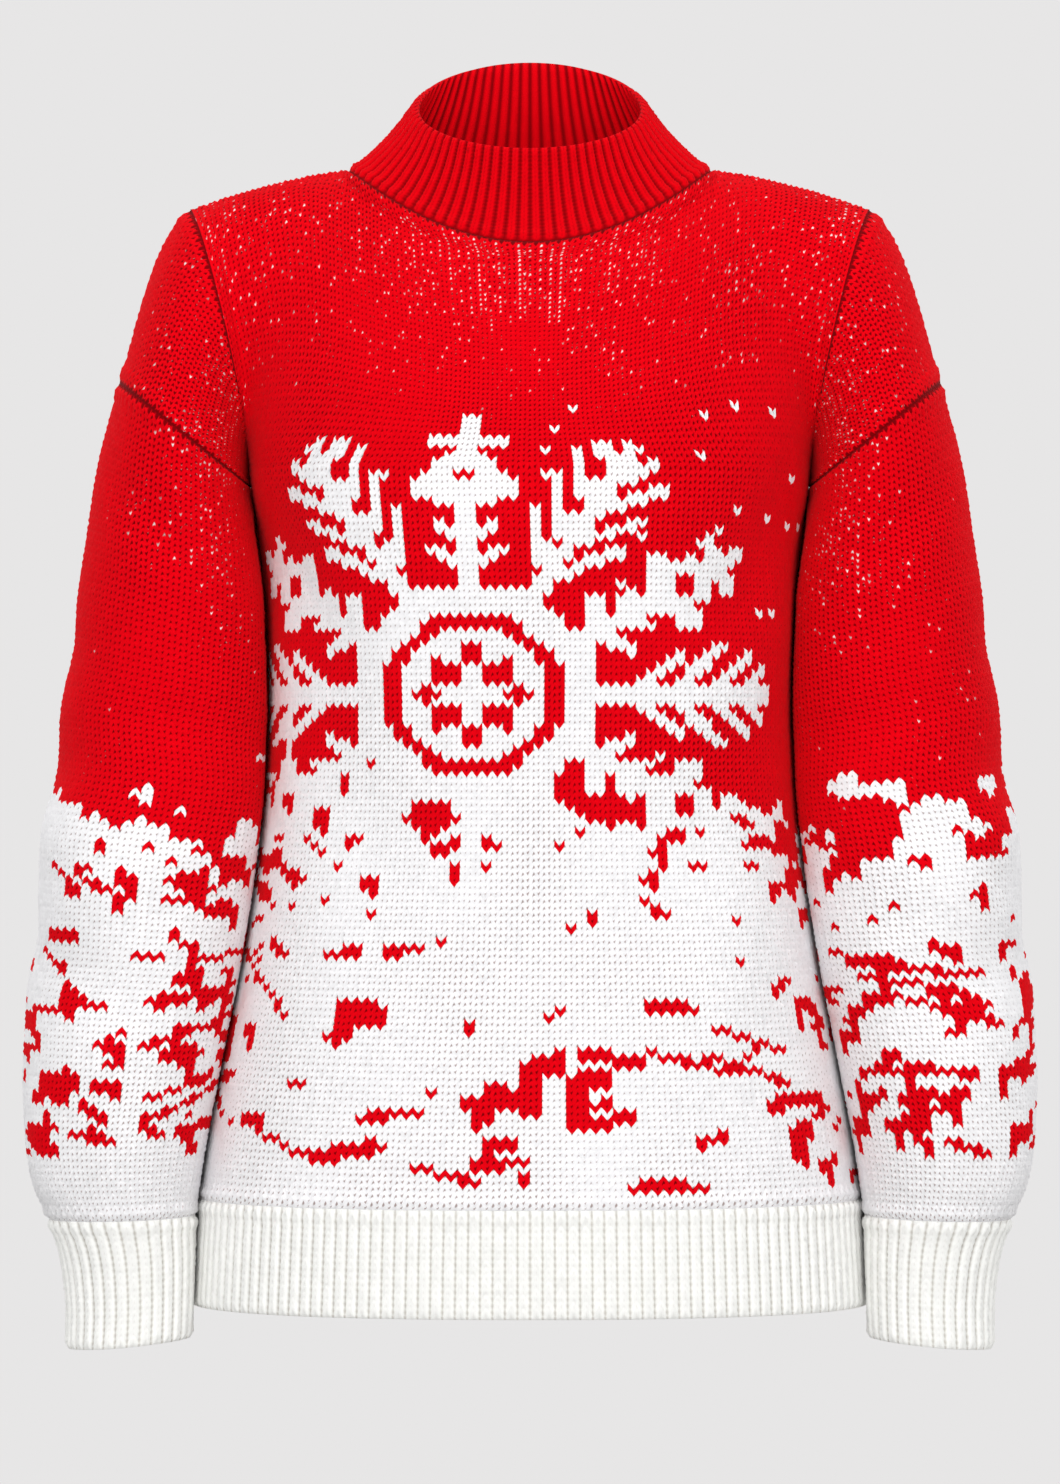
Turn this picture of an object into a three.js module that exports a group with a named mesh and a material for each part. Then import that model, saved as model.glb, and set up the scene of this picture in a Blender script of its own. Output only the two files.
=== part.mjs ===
// A bulky knitted pullover in the hollow form it keeps when worn: a ribbed funnel collar, dropped
// shoulders with a cap between two seams, full sleeves drawn into tight ribbed cuffs, a ribbed hem.
// Millimetres, +Z up, the front faces -Y, and the garment's own left sleeve is at +X. The origin
// is the middle of the neck opening, level with the inner ends of the shoulder seams.

import * as THREE from 'three';

const { Vector3 } = THREE;

// Driving sizes
const CLOTH = 3;
const SEAM_GAP = 0.3;
const RIB_RELIEF = 1.4;
const SECTION_ROUNDNESS = 0.87;
const HEM_EDGE_Z = -606;
const HEM_JOIN_Z = -549;
const UNDERARM_Z = -158;

const NECK = {
  halfWidth: 98,
  y: 10,
  z: 5,
  front: { reach: -68, rise: -43 },
  back: { reach: 52, rise: 9 },
};
const SHOULDER_POINT = { x: 184, y: 10, z: -16, slopePower: 1.3 };
const COLLAR_TOP = { halfWidth: 62, halfDepth: 55, y: 9, z: 41, tilt: 28, bow: 2.5 };

// A sleeve that lies against the side of the body stays this far clear of it, and softly so
const SIDE_CLEARANCE = { gap: 1.6, softness: 2.5 };

// How many straight runs and ribs each piece has
const HALF_COLUMNS = 13;
const NECK_COLUMNS = 6;
const BODY_ROWS = 12;
const YOKE_ROWS = 10;
const CAP_ROWS = 4;
const SLEEVE_ROWS = 18;
const RING_MARKS = 2 * YOKE_ROWS;
const COLLAR = { ribs: 75, rows: 3, innerColumns: 50 };
const CUFF = { ribs: 32, rows: 3, innerColumns: 32 };
const HEM = { ribs: 74, rows: 2, innerColumns: 37 };

// Level sections of the body, from the hem's edge to the underarm
const TORSO = [
  { z: -606, halfWidth: 183, front: -118, side: -2, back: 114 },
  { z: -549, halfWidth: 179, front: -116, side: -2, back: 111 },
  { z: -486, halfWidth: 169, front: -111, side: -1, back: 103 },
  { z: -422, halfWidth: 156, front: -106, side: 0, back: 95 },
  { z: -360, halfWidth: 146, front: -103, side: 1, back: 89 },
  { z: -300, halfWidth: 141, front: -104, side: 2, back: 88 },
  { z: -240, halfWidth: 141.5, front: -108, side: 3, back: 92 },
  { z: -190, halfWidth: 146, front: -111, side: 4, back: 96 },
  { z: -158, halfWidth: 151, front: -109, side: 5, back: 98 },
];

// How the yoke leaves the level of the underarm and meets the neckline and the shoulder seam:
// u runs from the middle of the panel to its armhole edge
const YOKE = [
  { u: 0, startY: 14, startZ: 130, endX: 0, endY: 75, endZ: 100 },
  { u: 0.25, startY: 12, startZ: 140, endX: -25, endY: 85, endZ: 80 },
  { u: 0.46, startY: 8, startZ: 155, endX: -75, endY: 110, endZ: 25 },
  { u: 0.65, startY: 0, startZ: 165, endX: -15, endY: 135, endZ: 5 },
  { u: 0.85, startY: -40, startZ: 160, endX: 0, endY: 155, endZ: 5 },
  { u: 1, startY: -190, startZ: 120, endX: 30, endY: 190, endZ: 40 },
];

// Sleeve sections from the drop seam to the cuff: their outer and inner ends seen from the
// front, half their depth, and how far they stand from the frontal plane
const SLEEVE = [
  { step: 0, outerX: 222, outerZ: -110, innerX: 153.5, innerZ: -166, halfDepth: 67, y: 8 },
  { step: 1, outerX: 233, outerZ: -152, innerX: 144, innerZ: -196, halfDepth: 66, y: 5 },
  { step: 2, outerX: 240, outerZ: -198, innerX: 138, innerZ: -232, halfDepth: 65, y: 2 },
  { step: 3, outerX: 248, outerZ: -248, innerX: 136, innerZ: -272, halfDepth: 64, y: -1 },
  { step: 4, outerX: 255, outerZ: -300, innerX: 136.5, innerZ: -316, halfDepth: 63, y: -5 },
  { step: 5, outerX: 261, outerZ: -350, innerX: 141, innerZ: -360, halfDepth: 62, y: -9 },
  { step: 6, outerX: 265.5, outerZ: -398, innerX: 148.5, innerZ: -404, halfDepth: 60, y: -14 },
  { step: 7, outerX: 269.5, outerZ: -442, innerX: 157, innerZ: -446, halfDepth: 58, y: -18 },
  { step: 8, outerX: 272, outerZ: -482, innerX: 165, innerZ: -484, halfDepth: 56, y: -22 },
  { step: 9, outerX: 271.5, outerZ: -516, innerX: 172, innerZ: -516, halfDepth: 52, y: -26 },
  { step: 10, outerX: 267, outerZ: -541, innerX: 176, innerZ: -539, halfDepth: 46, y: -29 },
  { step: 11, outerX: 257.5, outerZ: -559, innerX: 179, innerZ: -557, halfDepth: 40, y: -31 },
];

// Cuff sections, from the gathered seam to the free edge
const CUFF_SECTIONS = [
  { step: 0, outerX: 257.5, outerZ: -559, innerX: 179, innerZ: -557, halfDepth: 40, y: -31 },
  { step: 1, outerX: 251, outerZ: -580, innerX: 178.5, innerZ: -577, halfDepth: 35.5, y: -32 },
  { step: 2, outerX: 248, outerZ: -604, innerX: 179, innerZ: -600, halfDepth: 33.5, y: -33 },
  { step: 3, outerX: 248, outerZ: -628, innerX: 180, innerZ: -622, halfDepth: 34.5, y: -34 },
];

// How the cap lifts over the shoulder beyond a straight run from armhole to drop seam
const CAP_LIFT = new Vector3(22, 0, 59);
const CAP_SETTLE = new Vector3(-13, 0, 14);

// Soft folds of the panels: the middle, half the length and width, the turn from upright, and
// the height, which is negative in a trough
const PANEL_FOLDS = [
  { panel: 'front', x: 128, z: -205, length: 62, width: 20, turn: 24, height: -4 },
  { panel: 'front', x: -130, z: -212, length: 58, width: 20, turn: -28, height: -4.5 },
  { panel: 'front', x: 112, z: -262, length: 70, width: 24, turn: 34, height: 2.5 },
  { panel: 'front', x: -96, z: -330, length: 80, width: 28, turn: -18, height: -2.5 },
  { panel: 'front', x: 105, z: -420, length: 90, width: 30, turn: 14, height: 3 },
  { panel: 'back', x: 110, z: -190, length: 80, width: 24, turn: 28, height: -4 },
  { panel: 'back', x: -104, z: -204, length: 76, width: 24, turn: -24, height: -3.5 },
  { panel: 'back', x: 24, z: -318, length: 44, width: 30, turn: 78, height: 4 },
  { panel: 'back', x: -40, z: -372, length: 50, width: 28, turn: 98, height: -4 },
  { panel: 'back', x: 70, z: -450, length: 90, width: 32, turn: 10, height: 3.5 },
];

// Soft folds of a sleeve: the place along it and round it, in turns of degrees from the inner
// line past the front, half the length and width, the turn from across, and the height
const SLEEVE_FOLDS = [
  { z: -172, around: 128, length: 46, width: 15, turn: 42, height: -3.5 },
  { z: -214, around: 104, length: 52, width: 17, turn: 46, height: 3 },
  { z: -244, around: 78, length: 46, width: 16, turn: 40, height: -3 },
  { z: -318, around: 158, length: 40, width: 22, turn: -12, height: -3 },
  { z: -356, around: 138, length: 48, width: 22, turn: 14, height: 3 },
  { z: -330, around: 246, length: 46, width: 20, turn: -20, height: -3.5 },
  { z: -220, around: 262, length: 54, width: 18, turn: -38, height: -3.5 },
  { z: -430, around: 118, length: 44, width: 20, turn: 20, height: -3 },
  { z: -446, around: 232, length: 48, width: 20, turn: -16, height: 3 },
];
const GATHERS = { count: 5, height: 2.2, fromStep: 8, toStep: 11 };

const RED_KNIT = { color: '#d3000f', roughness: 0.9, metalness: 0 };
const JACQUARD_KNIT = { color: '#e2443f', roughness: 0.9, metalness: 0 };
const WHITE_RIB = { color: '#f1efec', roughness: 0.9, metalness: 0 };

const clamp = THREE.MathUtils.clamp;
const lerp = THREE.MathUtils.lerp;
const radians = THREE.MathUtils.degToRad;

/** The four weights of a cubic from point and tangent to point and tangent. */
function cubicWeights(t) {
  return [(1 + 2 * t) * (1 - t) ** 2, t * (1 - t) ** 2, t * t * (3 - 2 * t), t * t * (t - 1)];
}

/** A point on the cubic that leaves one point and reaches another by the given tangents. */
function cubicPoint(t, from, leaving, to, reaching) {
  const weights = cubicWeights(t);
  return [from, leaving, to, reaching].reduce(
    (sum, vector, i) => sum.addScaledVector(vector, weights[i]), new Vector3());
}

/** A smooth function through one column of a table, against its rising key column. */
function smoothColumn(rows, key, column) {
  const slope = (i) => {
    const low = rows[Math.max(i - 1, 0)];
    const high = rows[Math.min(i + 1, rows.length - 1)];
    return (high[column] - low[column]) / (high[key] - low[key]);
  };
  return (at) => {
    const next = rows.findIndex((row, i) => i > 0 && at <= row[key]);
    const i = next < 0 ? rows.length - 2 : next - 1;
    const span = rows[i + 1][key] - rows[i][key];
    const [a, b, c, d] = cubicWeights((at - rows[i][key]) / span);
    return a * rows[i][column] + b * span * slope(i)
      + c * rows[i + 1][column] + d * span * slope(i + 1);
  };
}

/** A table as an object of smooth functions, one for each column. */
function smoothTable(rows, key) {
  const columns = Object.keys(rows[0]).filter((name) => name !== key);
  return Object.fromEntries(columns.map((name) => [name, smoothColumn(rows, key, name)]));
}

const torso = smoothTable(TORSO, 'z');
const yoke = smoothTable(YOKE, 'u');
const sleeve = smoothTable(SLEEVE, 'step');
const cuff = smoothTable(CUFF_SECTIONS, 'step');

/** How far a fold lifts the cloth at a distance along and across from its middle. */
function foldLift(fold, along, across) {
  const turn = radians(fold.turn);
  const down = along * Math.cos(turn) + across * Math.sin(turn);
  const aside = across * Math.cos(turn) - along * Math.sin(turn);
  return fold.height * Math.exp(-((down / fold.length) ** 2) - (aside / fold.width) ** 2);
}

/** A point of the level body section: u is -1 and 1 at the side seams, 0 in the middle. */
function torsoPoint(panel, u, z) {
  const angle = radians(90 * u);
  const across = Math.sign(u) * Math.abs(Math.sin(angle)) ** SECTION_ROUNDNESS;
  const outward = Math.max(Math.cos(angle), 0) ** SECTION_ROUNDNESS;
  const side = torso.side(z);
  return new Vector3(
    torso.halfWidth(z) * across, side + (torso[panel](z) - side) * outward, z);
}

/** The neckline: the angle is 0 in the middle of the panel and 90 degrees at the shoulder seam. */
function necklinePoint(panel, angle) {
  const forward = Math.cos(angle);
  return new Vector3(
    NECK.halfWidth * Math.sin(angle),
    NECK.y + NECK[panel].reach * forward,
    NECK.z + NECK[panel].rise * forward * forward);
}

/** The top edge of a panel: the neckline in the middle, then the shoulder seam on each side. */
function topEdgePoint(panel, u) {
  const column = Math.abs(u) * HALF_COLUMNS;
  if (column <= NECK_COLUMNS) {
    return necklinePoint(panel, radians(90 * u * HALF_COLUMNS / NECK_COLUMNS));
  }
  const out = (column - NECK_COLUMNS) / (HALF_COLUMNS - NECK_COLUMNS);
  return new Vector3(
    Math.sign(u) * lerp(NECK.halfWidth, SHOULDER_POINT.x, out),
    SHOULDER_POINT.y,
    lerp(NECK.z, SHOULDER_POINT.z, out ** SHOULDER_POINT.slopePower));
}

/** The yoke of a panel, from the underarm level at t = 0 to its top edge at t = 1. */
function yokePoint(panel, u, t) {
  const inward = panel === 'front' ? 1 : -1;
  const reach = Math.abs(u);
  const leaving = new Vector3(0, inward * yoke.startY(reach), yoke.startZ(reach));
  const reaching = new Vector3(
    Math.sign(u) * yoke.endX(reach), inward * yoke.endY(reach), yoke.endZ(reach));
  const foot = torsoPoint(panel, u, UNDERARM_Z);
  return cubicPoint(t, foot, leaving, topEdgePoint(panel, u), reaching);
}

/** The outer surface of the front or back: rows count up from the hem join to the top edge. */
function panelPoint(panel, u, row) {
  const point = row <= BODY_ROWS
    ? torsoPoint(panel, u, lerp(HEM_JOIN_Z, UNDERARM_Z, row / BODY_ROWS))
    : yokePoint(panel, u, (row - BODY_ROWS) / YOKE_ROWS);
  const inside = (1 - u ** 8) * clamp(row / 3, 0, 1);
  const outward = new Vector3(point.x / 2, point.y, 0).normalize();
  const lift = PANEL_FOLDS.filter((fold) => fold.panel === panel)
    .reduce((sum, fold) => sum + foldLift(fold, point.z - fold.z, point.x - fold.x), 0);
  return point.addScaledVector(outward, lift * inside);
}

/** How far the side of the body reaches at a place before or behind the frontal plane. */
function bodyReach(y, z) {
  const level = clamp(z, HEM_EDGE_Z, UNDERARM_Z);
  const side = torso.side(level);
  const depth = (y < side ? torso.front(level) : torso.back(level)) - side;
  const outward = clamp((y - side) / depth, 0, 1) ** (2 / SECTION_ROUNDNESS);
  return torso.halfWidth(level) * (1 - outward) ** (SECTION_ROUNDNESS / 2);
}

/** Moves a point of the left sleeve or cuff out from the side of the body that it lies against. */
function besideBody(point) {
  const limit = bodyReach(point.y, point.z) + SIDE_CLEARANCE.gap;
  const beyond = point.x - limit;
  point.x = limit + (beyond + Math.hypot(beyond, SIDE_CLEARANCE.softness)) / 2;
  return point;
}

/** A ring of a sleeve or cuff table: the angle is 0 at the inner line and 90 degrees in front. */
function ringPoint(table, step, angle, lift = 0) {
  const outer = new Vector3(table.outerX(step), table.y(step), table.outerZ(step));
  const inner = new Vector3(table.innerX(step), table.y(step), table.innerZ(step));
  const middle = outer.clone().add(inner).multiplyScalar(0.5);
  const half = outer.clone().sub(middle);
  const swell = 1 + lift / table.halfDepth(step);
  return middle
    .addScaledVector(half, -Math.cos(angle) * swell)
    .add(new Vector3(0, -table.halfDepth(step) * Math.sin(angle) * swell, 0));
}

/** The sleeve's outer surface at the left, from the drop seam at t = 0 to the cuff at t = 1. */
function sleevePoint(angle, t) {
  const step = t * SLEEVE.at(-1).step;
  const plain = ringPoint(sleeve, step, angle);
  const degrees = THREE.MathUtils.radToDeg(angle);
  const folds = SLEEVE_FOLDS.reduce((sum, fold) => {
    const around = radians(degrees - fold.around) * sleeve.halfDepth(step);
    return sum + foldLift(fold, around, plain.z - fold.z);
  }, 0);
  const gathered = clamp(
    (step - GATHERS.fromStep) / (GATHERS.toStep - GATHERS.fromStep), 0, 1);
  const gathers = GATHERS.height * Math.sin(Math.PI * gathered)
    * Math.cos(GATHERS.count * angle) * Math.sin(angle / 2) ** 2;
  const lift = folds * Math.sin(Math.PI * t) ** 0.5 + gathers;
  return besideBody(ringPoint(sleeve, step, angle, lift));
}

/** The cuff's outer surface at the left, from its gathered seam at t = 0 to its edge at t = 1. */
function cuffPoint(angle, t) {
  return besideBody(ringPoint(cuff, t * CUFF_SECTIONS.at(-1).step, angle));
}

/** The armhole ring at the left: up the front from the underarm, over, and down the back. */
function armholePoint(angle) {
  const share = THREE.MathUtils.euclideanModulo(angle / Math.PI, 2);
  return share <= 1
    ? panelPoint('front', 1, BODY_ROWS + YOKE_ROWS * share)
    : panelPoint('back', 1, BODY_ROWS + YOKE_ROWS * (2 - share));
}

/** The cap over the left shoulder, from the armhole at t = 0 to the drop seam at t = 1. */
function capPoint(angle, t) {
  const from = armholePoint(angle);
  const to = sleevePoint(angle, 0);
  const run = to.clone().sub(from);
  const top = (1 - Math.cos(angle)) / 2;
  return cubicPoint(t, from, run.clone().addScaledVector(CAP_LIFT, top),
    to, run.clone().addScaledVector(CAP_SETTLE, top));
}

/** The collar's outer surface, from the neckline at t = 0 to the free edge at t = 1. */
function collarPoint(angle, t) {
  const forward = Math.cos(angle);
  const foot = forward >= 0
    ? necklinePoint('front', angle)
    : necklinePoint('back', Math.PI - angle);
  const top = new Vector3(
    COLLAR_TOP.halfWidth * Math.sin(angle),
    COLLAR_TOP.y - COLLAR_TOP.halfDepth * forward,
    COLLAR_TOP.z - COLLAR_TOP.tilt * forward);
  const inward = new Vector3(-Math.sin(angle), forward, 0);
  return foot.lerp(top, t).addScaledVector(inward, COLLAR_TOP.bow * Math.sin(Math.PI * t));
}

/** The body section of the hem band, from the hem join at t = 0 down to its edge at t = 1. */
function hemPoint(panel, u, t) {
  return torsoPoint(panel, u, lerp(HEM_JOIN_Z, HEM_EDGE_Z, t));
}

/** The unit normal of a surface of two numbers, from its slopes along both. */
function surfaceNormal(surface, a, b, stepA, stepB, rangeB) {
  const lowB = clamp(b - stepB, rangeB[0], rangeB[1]);
  const highB = clamp(b + stepB, rangeB[0], rangeB[1]);
  const alongA = surface(a + stepA, b).sub(surface(a - stepA, b));
  const alongB = surface(a, highB).sub(surface(a, lowB));
  return alongA.cross(alongB).normalize();
}

/** The outward normal of a panel's outer surface. */
function panelNormal(panel, u, row) {
  const step = 0.01;
  const low = clamp(u, -1 + step, 1 - step);
  const normal = surfaceNormal((a, b) => panelPoint(panel, a, b), low, row, step, 0.05,
    [0, BODY_ROWS + YOKE_ROWS]);
  return panel === 'front' ? normal : normal.negate();
}

/** The outward normal that the front and back share along the side and shoulder seams. */
function straightSeamNormal(u, row) {
  return panelNormal('front', u, row).add(panelNormal('back', u, row)).normalize();
}

/** The outward normal of a ring surface whose angle runs past the front, t from 0 to 1. */
function ringNormal(surface, angle, t) {
  return surfaceNormal(surface, angle, t, 0.02, 0.02, [0, 1]);
}

const capNormal = (angle, t) => ringNormal(capPoint, angle, t).negate();
const sleeveNormal = (angle, t) => ringNormal(sleevePoint, angle, t).negate();
const cuffNormal = (angle, t) => ringNormal(cuffPoint, angle, t).negate();
const collarNormal = (angle, t) => ringNormal(collarPoint, angle, t);

/** The pair of outer and inner points of a wall at a point with its outward normal. */
function wallPair(point, normal) {
  return { outer: point, inner: point.clone().addScaledVector(normal, -CLOTH) };
}

/** Moves both points of a pair by half the gap of a seam, along a direction. */
function pulledBack(pair, direction) {
  const shift = direction.clone().normalize().multiplyScalar(SEAM_GAP / 2);
  return { outer: pair.outer.clone().add(shift), inner: pair.inner.clone().add(shift) };
}

/** A seam between two pieces: marks that both share, and straight runs between the marks. */
class Seam {
  constructor(count, round, pointAt, normalsAt, towardsSecond) {
    this.count = count;
    this.round = round;
    this.marks = Array.from({ length: round ? count : count + 1 }, (_, i) => {
      const at = i / count;
      const point = pointAt(at);
      const step = 0.002;
      const tangent = pointAt(round ? (at + step) % 1 : Math.min(at + step, 1))
        .sub(pointAt(round ? (at - step + 1) % 1 : Math.max(at - step, 0))).normalize();
      const normal = normalsAt(at).reduce((sum, one) => sum.add(one), new Vector3());
      normal.addScaledVector(tangent, -normal.dot(tangent)).normalize();
      const across = tangent.clone().cross(normal).normalize();
      if (across.dot(towardsSecond(at)) < 0) across.negate();
      return { ...wallPair(point, normal), across };
    });
  }

  /** The outer and inner points and the direction across, a share of the way along the seam. */
  at(share) {
    const place = share * this.count;
    const i = Math.min(Math.floor(place + 1e-9), this.count - 1);
    const from = this.marks[i];
    const to = this.marks[this.round ? (i + 1) % this.count : i + 1];
    const mix = (name) => from[name].clone().lerp(to[name], clamp(place - i, 0, 1));
    return { outer: mix('outer'), inner: mix('inner'), across: mix('across').normalize() };
  }

  /** The rim of the first or the second piece, half a seam gap back from the seam. */
  rim(share, piece) {
    const mark = this.at(share);
    return pulledBack(mark, mark.across.clone().multiplyScalar(piece === 'first' ? -1 : 1));
  }
}

const turn = (share) => 2 * Math.PI * share;

/** The normal of the panel that the collar meets, a share of the way round the neckline. */
function neckPanelNormal(share) {
  const angle = turn(share);
  const panel = Math.cos(angle) >= -1e-9 ? 'front' : 'back';
  const sine = clamp(Math.sin(angle), -1, 1);
  const u = (Math.asin(sine) / (Math.PI / 2)) * (NECK_COLUMNS / HALF_COLUMNS);
  return panelNormal(panel, u, BODY_ROWS + YOKE_ROWS);
}

const necklineSeam = new Seam(4 * NECK_COLUMNS, true,
  (share) => collarPoint(turn(share), 0),
  (share) => [neckPanelNormal(share), collarNormal(turn(share), 0)],
  (share) => collarPoint(turn(share), 0.1).sub(collarPoint(turn(share), 0)));

const armholeSeam = new Seam(RING_MARKS, true,
  (share) => armholePoint(turn(share)),
  (share) => {
    const panel = share <= 0.5 ? 'front' : 'back';
    const up = share <= 0.5 ? 2 * share : 2 - 2 * share;
    return [panelNormal(panel, 1, BODY_ROWS + YOKE_ROWS * up), capNormal(turn(share), 0)];
  },
  (share) => capPoint(turn(share), 0.1).sub(capPoint(turn(share), 0)));

const dropSeam = new Seam(RING_MARKS, true,
  (share) => sleevePoint(turn(share), 0),
  (share) => [capNormal(turn(share), 1), sleeveNormal(turn(share), 0)],
  (share) => sleevePoint(turn(share), 0.05).sub(sleevePoint(turn(share), 0)));

const cuffSeam = new Seam(RING_MARKS, true,
  (share) => sleevePoint(turn(share), 1),
  (share) => [sleeveNormal(turn(share), 1), cuffNormal(turn(share), 0)],
  (share) => cuffPoint(turn(share), 0.1).sub(cuffPoint(turn(share), 0)));

/** The join of a panel, the first piece, and its half of the hem band. */
function hemSeam(panel) {
  return new Seam(2 * HALF_COLUMNS, false,
    (share) => torsoPoint(panel, 2 * share - 1, HEM_JOIN_Z),
    (share) => [panelNormal(panel, 2 * share - 1, 0)],
    () => new Vector3(0, 0, -1));
}

/** Triangles between two rows of numbered points, each with its share of the way along. */
function zip(first, second) {
  const triangles = [];
  const level = 1e-9;
  let [i, j] = [0, 0];
  while (i < first.length - 1 || j < second.length - 1) {
    const nextFirst = i < first.length - 1 ? first[i + 1].share : Infinity;
    const nextSecond = j < second.length - 1 ? second[j + 1].share : Infinity;
    const sideBySide = Math.abs(nextFirst - nextSecond) < level;
    const firstIsShorter = sideBySide
      && first[i + 1].point.distanceTo(second[j].point)
        <= second[j + 1].point.distanceTo(first[i].point);
    if (sideBySide ? firstIsShorter : nextFirst < nextSecond) {
      triangles.push([first[i].index, first[i + 1].index, second[j].index]);
      i += 1;
    } else {
      triangles.push([first[i].index, second[j + 1].index, second[j].index]);
      j += 1;
    }
  }
  return triangles;
}

/** Turns a wall's triangles round if they face inwards. */
function facingOut(points, triangles) {
  const volume = triangles.reduce((sum, [a, b, c]) => (
    sum + points[a].dot(points[b].clone().cross(points[c]))), 0);
  return volume > 0 ? triangles : triangles.map(([a, b, c]) => [a, c, b]);
}

/** One closed wall between an outer and an inner grid of points, both with rows of points. */
function wallGeometry(outer, inner, round) {
  const points = [...outer.flat(), ...inner.flat()];
  const grid = (rows, offset) => rows.map((row, r) => {
    const numbered = row.map((point, c) => ({
      point,
      index: offset + r * row.length + c,
      share: c / (round ? row.length : row.length - 1),
    }));
    return round ? [...numbered, { ...numbered[0], share: 1 }] : numbered;
  });
  const side = (rows, column) => rows.map((row, r) => (
    { ...row.at(column), share: r / (rows.length - 1) }));
  const outerRows = grid(outer, 0);
  const innerRows = grid(inner, outer.flat().length);
  const reversed = (triangles) => triangles.map(([a, b, c]) => [a, c, b]);
  const triangles = [
    ...outerRows.slice(1).flatMap((row, r) => reversed(zip(row, outerRows[r]))),
    ...innerRows.slice(1).flatMap((row, r) => zip(row, innerRows[r])),
    ...reversed(zip(outerRows[0], innerRows[0])),
    ...zip(outerRows.at(-1), innerRows.at(-1)),
  ];
  if (!round) {
    triangles.push(
      ...zip(side(outerRows, 0), side(innerRows, 0)),
      ...reversed(zip(side(outerRows, -1), side(innerRows, -1))));
  }
  const geometry = new THREE.BufferGeometry().setFromPoints(points);
  geometry.setIndex(facingOut(points, triangles).flat());
  geometry.computeVertexNormals();
  return geometry;
}

/** A named piece with its finish. */
function piece(name, geometry, finish) {
  const mesh = new THREE.Mesh(geometry, new THREE.MeshStandardMaterial(finish));
  mesh.name = name;
  return mesh;
}

/** The pairs of a grid as two grids of points, mirrored for the right-hand pieces. */
function splitPairs(rows, mirrored = false) {
  const place = (point) => (mirrored ? new Vector3(-point.x, point.y, point.z) : point);
  return ['outer', 'inner'].map((name) => rows.map((row) => row.map((pair) => place(pair[name]))));
}

/** The outer and inner points of a panel at a column and row, pulled back from its seams. */
function panelPair(panel, column, row, hem) {
  const u = column / HALF_COLUMNS;
  const top = BODY_ROWS + YOKE_ROWS;
  const away = new Vector3(0, panel === 'front' ? -1 : 1, 0);
  const side = Math.sign(column);
  const mirror = (vector) => new Vector3(side * vector.x, vector.y, vector.z);
  const ringShare = (share) => (panel === 'front' ? share : (1 - share) % 1);
  const onStraightSeam = (Math.abs(column) === HALF_COLUMNS && row <= BODY_ROWS)
    || (row === top && Math.abs(column) >= NECK_COLUMNS);
  const normal = onStraightSeam ? straightSeamNormal(u, row) : panelNormal(panel, u, row);
  let pair = wallPair(panelPoint(panel, u, row), normal);
  const ways = onStraightSeam ? [away] : [];
  if (row === 0) {
    pair = hem.at((u + 1) / 2);
    ways.push(new Vector3(0, 0, 1));
  }
  if (Math.abs(column) === HALF_COLUMNS && row >= BODY_ROWS) {
    const mark = armholeSeam.at(ringShare((row - BODY_ROWS) / RING_MARKS));
    pair = { outer: mirror(mark.outer), inner: mirror(mark.inner) };
    ways.push(mirror(mark.across).negate());
  }
  if (row === top && Math.abs(column) <= NECK_COLUMNS) {
    const quarter = Math.abs(column) / (4 * NECK_COLUMNS);
    const mark = necklineSeam.at(panel === 'front' ? quarter : 0.5 - quarter);
    const turned = side === 0 ? (vector) => vector.clone() : mirror;
    pair = { outer: turned(mark.outer), inner: turned(mark.inner) };
    ways.push(turned(mark.across).negate());
  }
  return ways.reduce(pulledBack, pair);
}

/** The front or back panel, from the hem join to the neckline and the shoulder seams. */
function panelPiece(name) {
  const hem = hemSeam(name);
  const rows = Array.from({ length: BODY_ROWS + YOKE_ROWS + 1 }, (_, row) => (
    Array.from({ length: 2 * HALF_COLUMNS + 1 }, (_, i) => (
      panelPair(name, i - HALF_COLUMNS, row, hem)))));
  return piece(name, wallGeometry(...splitPairs(rows), false), JACQUARD_KNIT);
}

/** A plain tube between two seams of the left arm, mirrored for the right. */
function tubePiece(name, surface, normal, rowCount, first, second, finish, mirrored) {
  const rows = Array.from({ length: rowCount + 1 }, (_, row) => (
    Array.from({ length: RING_MARKS }, (_, i) => {
      const share = i / RING_MARKS;
      if (row === 0) return first.rim(share, 'second');
      if (row === rowCount) return second.rim(share, 'first');
      const t = row / rowCount;
      return wallPair(surface(turn(share), t), normal(turn(share), t));
    })));
  return piece(name, wallGeometry(...splitPairs(rows, mirrored), true), finish);
}

/** Ribs raised on the outer point of a pair: a ridge on even columns, a gutter on odd ones. */
function ribbed(pair, column) {
  const outward = pair.outer.clone().sub(pair.inner).normalize();
  const relief = (column % 2 === 0 ? 0.5 : -0.5) * RIB_RELIEF;
  return pair.outer.clone().addScaledVector(outward, relief);
}

/** A ribbed tube that hangs from or stands on a seam and ends at a free edge. */
function ribbedTube(name, surface, normal, sizes, seam, finish, mirrored) {
  const pairAt = (share, row) => (row === 0
    ? seam.rim(share, 'second')
    : wallPair(surface(turn(share), row / sizes.rows), normal(turn(share), row / sizes.rows)));
  const steps = (count, pick) => Array.from({ length: sizes.rows + 1 }, (_, row) => (
    Array.from({ length: count }, (_, i) => pick(pairAt(i / count, row), i, row))));
  const outer = steps(2 * sizes.ribs, (pair, i, row) => (row === 0 ? pair.outer : ribbed(pair, i)));
  const inner = steps(sizes.innerColumns, (pair) => pair.inner);
  const place = (point) => (mirrored ? new Vector3(-point.x, point.y, point.z) : point);
  const placed = (rows) => rows.map((row) => row.map(place));
  return piece(name, wallGeometry(placed(outer), placed(inner), true), finish);
}

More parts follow.
